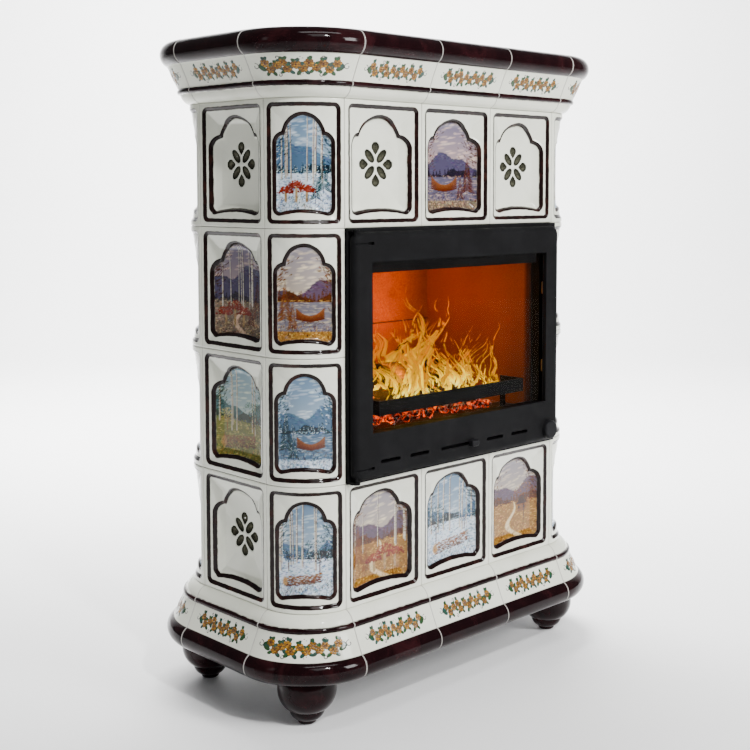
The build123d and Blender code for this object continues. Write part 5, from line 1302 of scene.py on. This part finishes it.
def build_embers(name, count, seed, material):
    """Broken charcoal on the firebox floor, as faceted lumps."""
    rng = random.Random(seed)
    points, faces = [], []
    for _ in range(count):
        r = rng.uniform(5, 13) * MM
        x, y = rng.uniform(*EMBER_X), rng.uniform(*EMBER_Y)
        z = floor_z + r * rng.uniform(0.7, 1.6)
        spin = rng.uniform(0, 3)
        faces += tube_faces(len(points), len(LUMP_RINGS), LUMP_SIDES)
        for ring, (share, lift) in enumerate(LUMP_RINGS):
            for k in range(LUMP_SIDES):
                a = spin + 2 * pi * k / LUMP_SIDES + 0.3 * ring
                q = r * share * rng.uniform(0.75, 1.2)
                points.append((x + q * cos(a), y + q * sin(a), z + lift * r))
    mesh_piece(name, points, faces, material)


flame_material, bark = flame_light(), charred_bark()
build_embers("embers", 420, 5, ember_glow())
for name, (x0, y0, z0), (x1, y1, z1), share, seed in (
    ("log_front", (-0.19, -0.05, LOG_Z), (0.16, -0.02, LOG_Z), 1.0, 1),
    ("log_rear", (-0.17, 0.04, LOG_Z), (0.18, 0.06, LOG_Z), 0.95, 2),
    ("log_upper", (-0.15, 0.03, UPPER_LOG_Z), (0.12, -0.03, UPPER_LOG_Z), 0.85, 3),
):
    start, end = (x0, FIRE_MIDDLE_Y + y0, z0), (x1, FIRE_MIDDLE_Y + y1, z1)
    build_log(name, start, end, LOG_R * share, seed, bark)
for name, count, seed, heights, half_widths, middle, spread in (
    ("flames_broad", 130, 11, (0.08, 0.19), (8 * MM, 17 * MM), 0.02, 0.10),
    ("flames_tongues", 110, 12, (0.13, 0.25), (4 * MM, 10 * MM), 0.02, 0.10),
    ("flames_threads", 26, 13, (0.13, 0.24), (1.8 * MM, 4 * MM), 0.02, 0.11),
    ("flames_wisps", 60, 14, (0.08, 0.17), (2 * MM, 6 * MM), 0.205, 0.035),
):
    build_flames(name, count, seed, heights, half_widths, middle, spread, flame_material)

# ---- finishes of the CAD nodes ----
sheet = stove_black("sheet_paint", (0.012, 0.012, 0.013), (0.48, 0.64), 700)
FINISHES = {
    "cream_glaze": moulding_material,
    "brown_glaze": brown_glaze(),
    "black_iron": stove_black("iron_paint", (0.0048, 0.0048, 0.0052), (0.50, 0.66), 900),
    "black_handles": stove_black("handle_paint", (0.008, 0.008, 0.009), (0.32, 0.45), 1400),
    "black_sheet": sheet,
    "firebox_steel": sheet,
    "plain_steel": bright_steel(),
    "firebox_lining": lining_stone(),
    "pane_glass": stove_glass(),
    "rope_gasket": rope_fibre(),
}
slot_of = {row["node"]: row["material_slot"] for row in frame["record"]["subparts"]}
for node, shown in frame["nodes"].items():
    shown.data.materials.clear()
    shown.data.materials.append(FINISHES[slot_of[node]])


# ---- stage, lights, camera ----
FLOOR_REACH, FLOOR_HALF_W, FLOOR_TOP = (-7.0, 4.5), 9, 7.0
FLOOR_SWEEP_R = 1.5
FLOOR_HEADING = (0.688, 0.726, 0)


def build_stage():
    """A pale floor that sweeps up behind the stove."""
    near, far = FLOOR_REACH
    sweep = quarter((far, FLOOR_SWEEP_R), FLOOR_SWEEP_R, -90, 0, 20)
    profile = [(near, 0.0), (far, 0.0), *sweep[1:], (far + FLOOR_SWEEP_R, FLOOR_TOP)]
    direction = Vector(FLOOR_HEADING).normalized()
    across = Vector((direction.y, -direction.x, 0))
    points, faces = [], []
    for reach, z in profile:
        for half in (-FLOOR_HALF_W, FLOOR_HALF_W):
            points.append(tuple(direction * reach + across * half + Vector((0, 0, z))))
    for k in range(len(profile) - 1):
        faces.append((2 * k, 2 * k + 1, 2 * k + 3, 2 * k + 2))
    mesh = bpy.data.meshes.new("studio_floor")
    mesh.from_pydata(points, [], faces)
    mesh.shade_smooth()
    mesh.materials.append(pale_stage())
    floor = add_object("studio_floor", mesh)


WHITE = (1, 1, 1)
LIGHTS = (  # name, place, target, size, watts, colour
    ("key", (0.9, -3.8, 2.2), (0, 0, 0.7), (1.1, 1.4), 170, WHITE),
    ("spark", (-0.9, -2.9, 3.2), (0, 0, 0.8), (0.22, 0.22), 100, WHITE),
    ("left_fill", (-3.6, 0.2, 1.9), (0, 0, 0.7), (0.4, 1.2), 3, WHITE),
    ("overhead", (-0.6, -1.4, 3.6), (0, 0, 0.9), (2.0, 0.4), 34, WHITE),
    ("backdrop", (0.6, 1.6, 3.6), (3.8, 4.2, 0.8), (2.6, 1.6), 1300, WHITE),
    ("floor_wash", (-1.6, -3.0, 3.4), (-1.2, -1.2, 0.0), (1.4, 1.4), 30, WHITE),
    ("fire_rear", (-0.10, bar_high.y + 0.03, floor_z + 0.10), (-0.06, fire_rear, floor_z + 0.22),
     (0.34, 0.08), 1.6, (1.0, 0.52, 0.01)),
    ("fire_right", (-0.02, FIRE_MIDDLE_Y, floor_z + 0.09), (0.25, FIRE_MIDDLE_Y + 0.10, floor_z + 0.24),
     (0.10, 0.10), 1.8, (1.0, 0.36, 0.02)),
)
WORLD_COLOUR, WORLD_STRENGTH = (0.95, 0.97, 1.0, 1.0), 0.2

build_stage()
for name, position, target, size, power, colour in LIGHTS:
    data = bpy.data.lights.new(name, "AREA")
    data.shape, data.size, data.size_y = "RECTANGLE", size[0], size[1]
    data.energy, data.color = power, colour
    light = add_object(name, data)
    light.visible_transmission = False
    light.location = position
    light.rotation_euler = (Vector(target) - Vector(position)).to_track_quat("-Z", "Y").to_euler()

world = bpy.data.worlds.new("studio")
bpy.context.scene.world = world
world.use_nodes = True
background = world.node_tree.nodes["Background"].inputs
background["Color"].default_value, background["Strength"].default_value = WORLD_COLOUR, WORLD_STRENGTH

# the camera was fitted to tile corners in the photograph
FOCAL_PX, FRAME_PX = 1230.7, 750
CENTRE_RIGHT_PX, CENTRE_UP_PX = 36.4, 101.25
YAW, PITCH = radians(44.775), radians(3.898)
CAMERA_AT = (-1.804, -1.8937, 0.9988)
SENSOR_MM = 36
camera_data = bpy.data.cameras.new("photo_camera")
camera_data.sensor_width = SENSOR_MM
camera_data.lens = FOCAL_PX / FRAME_PX * SENSOR_MM
camera_data.shift_x = -CENTRE_RIGHT_PX / FRAME_PX
camera_data.shift_y = -CENTRE_UP_PX / FRAME_PX
camera = add_object("photo_camera", camera_data)
camera.location = CAMERA_AT
look = Vector((sin(YAW) * cos(PITCH), cos(YAW) * cos(PITCH), -sin(PITCH)))
camera.rotation_euler = look.to_track_quat("-Z", "Y").to_euler()
bpy.context.scene.camera = camera
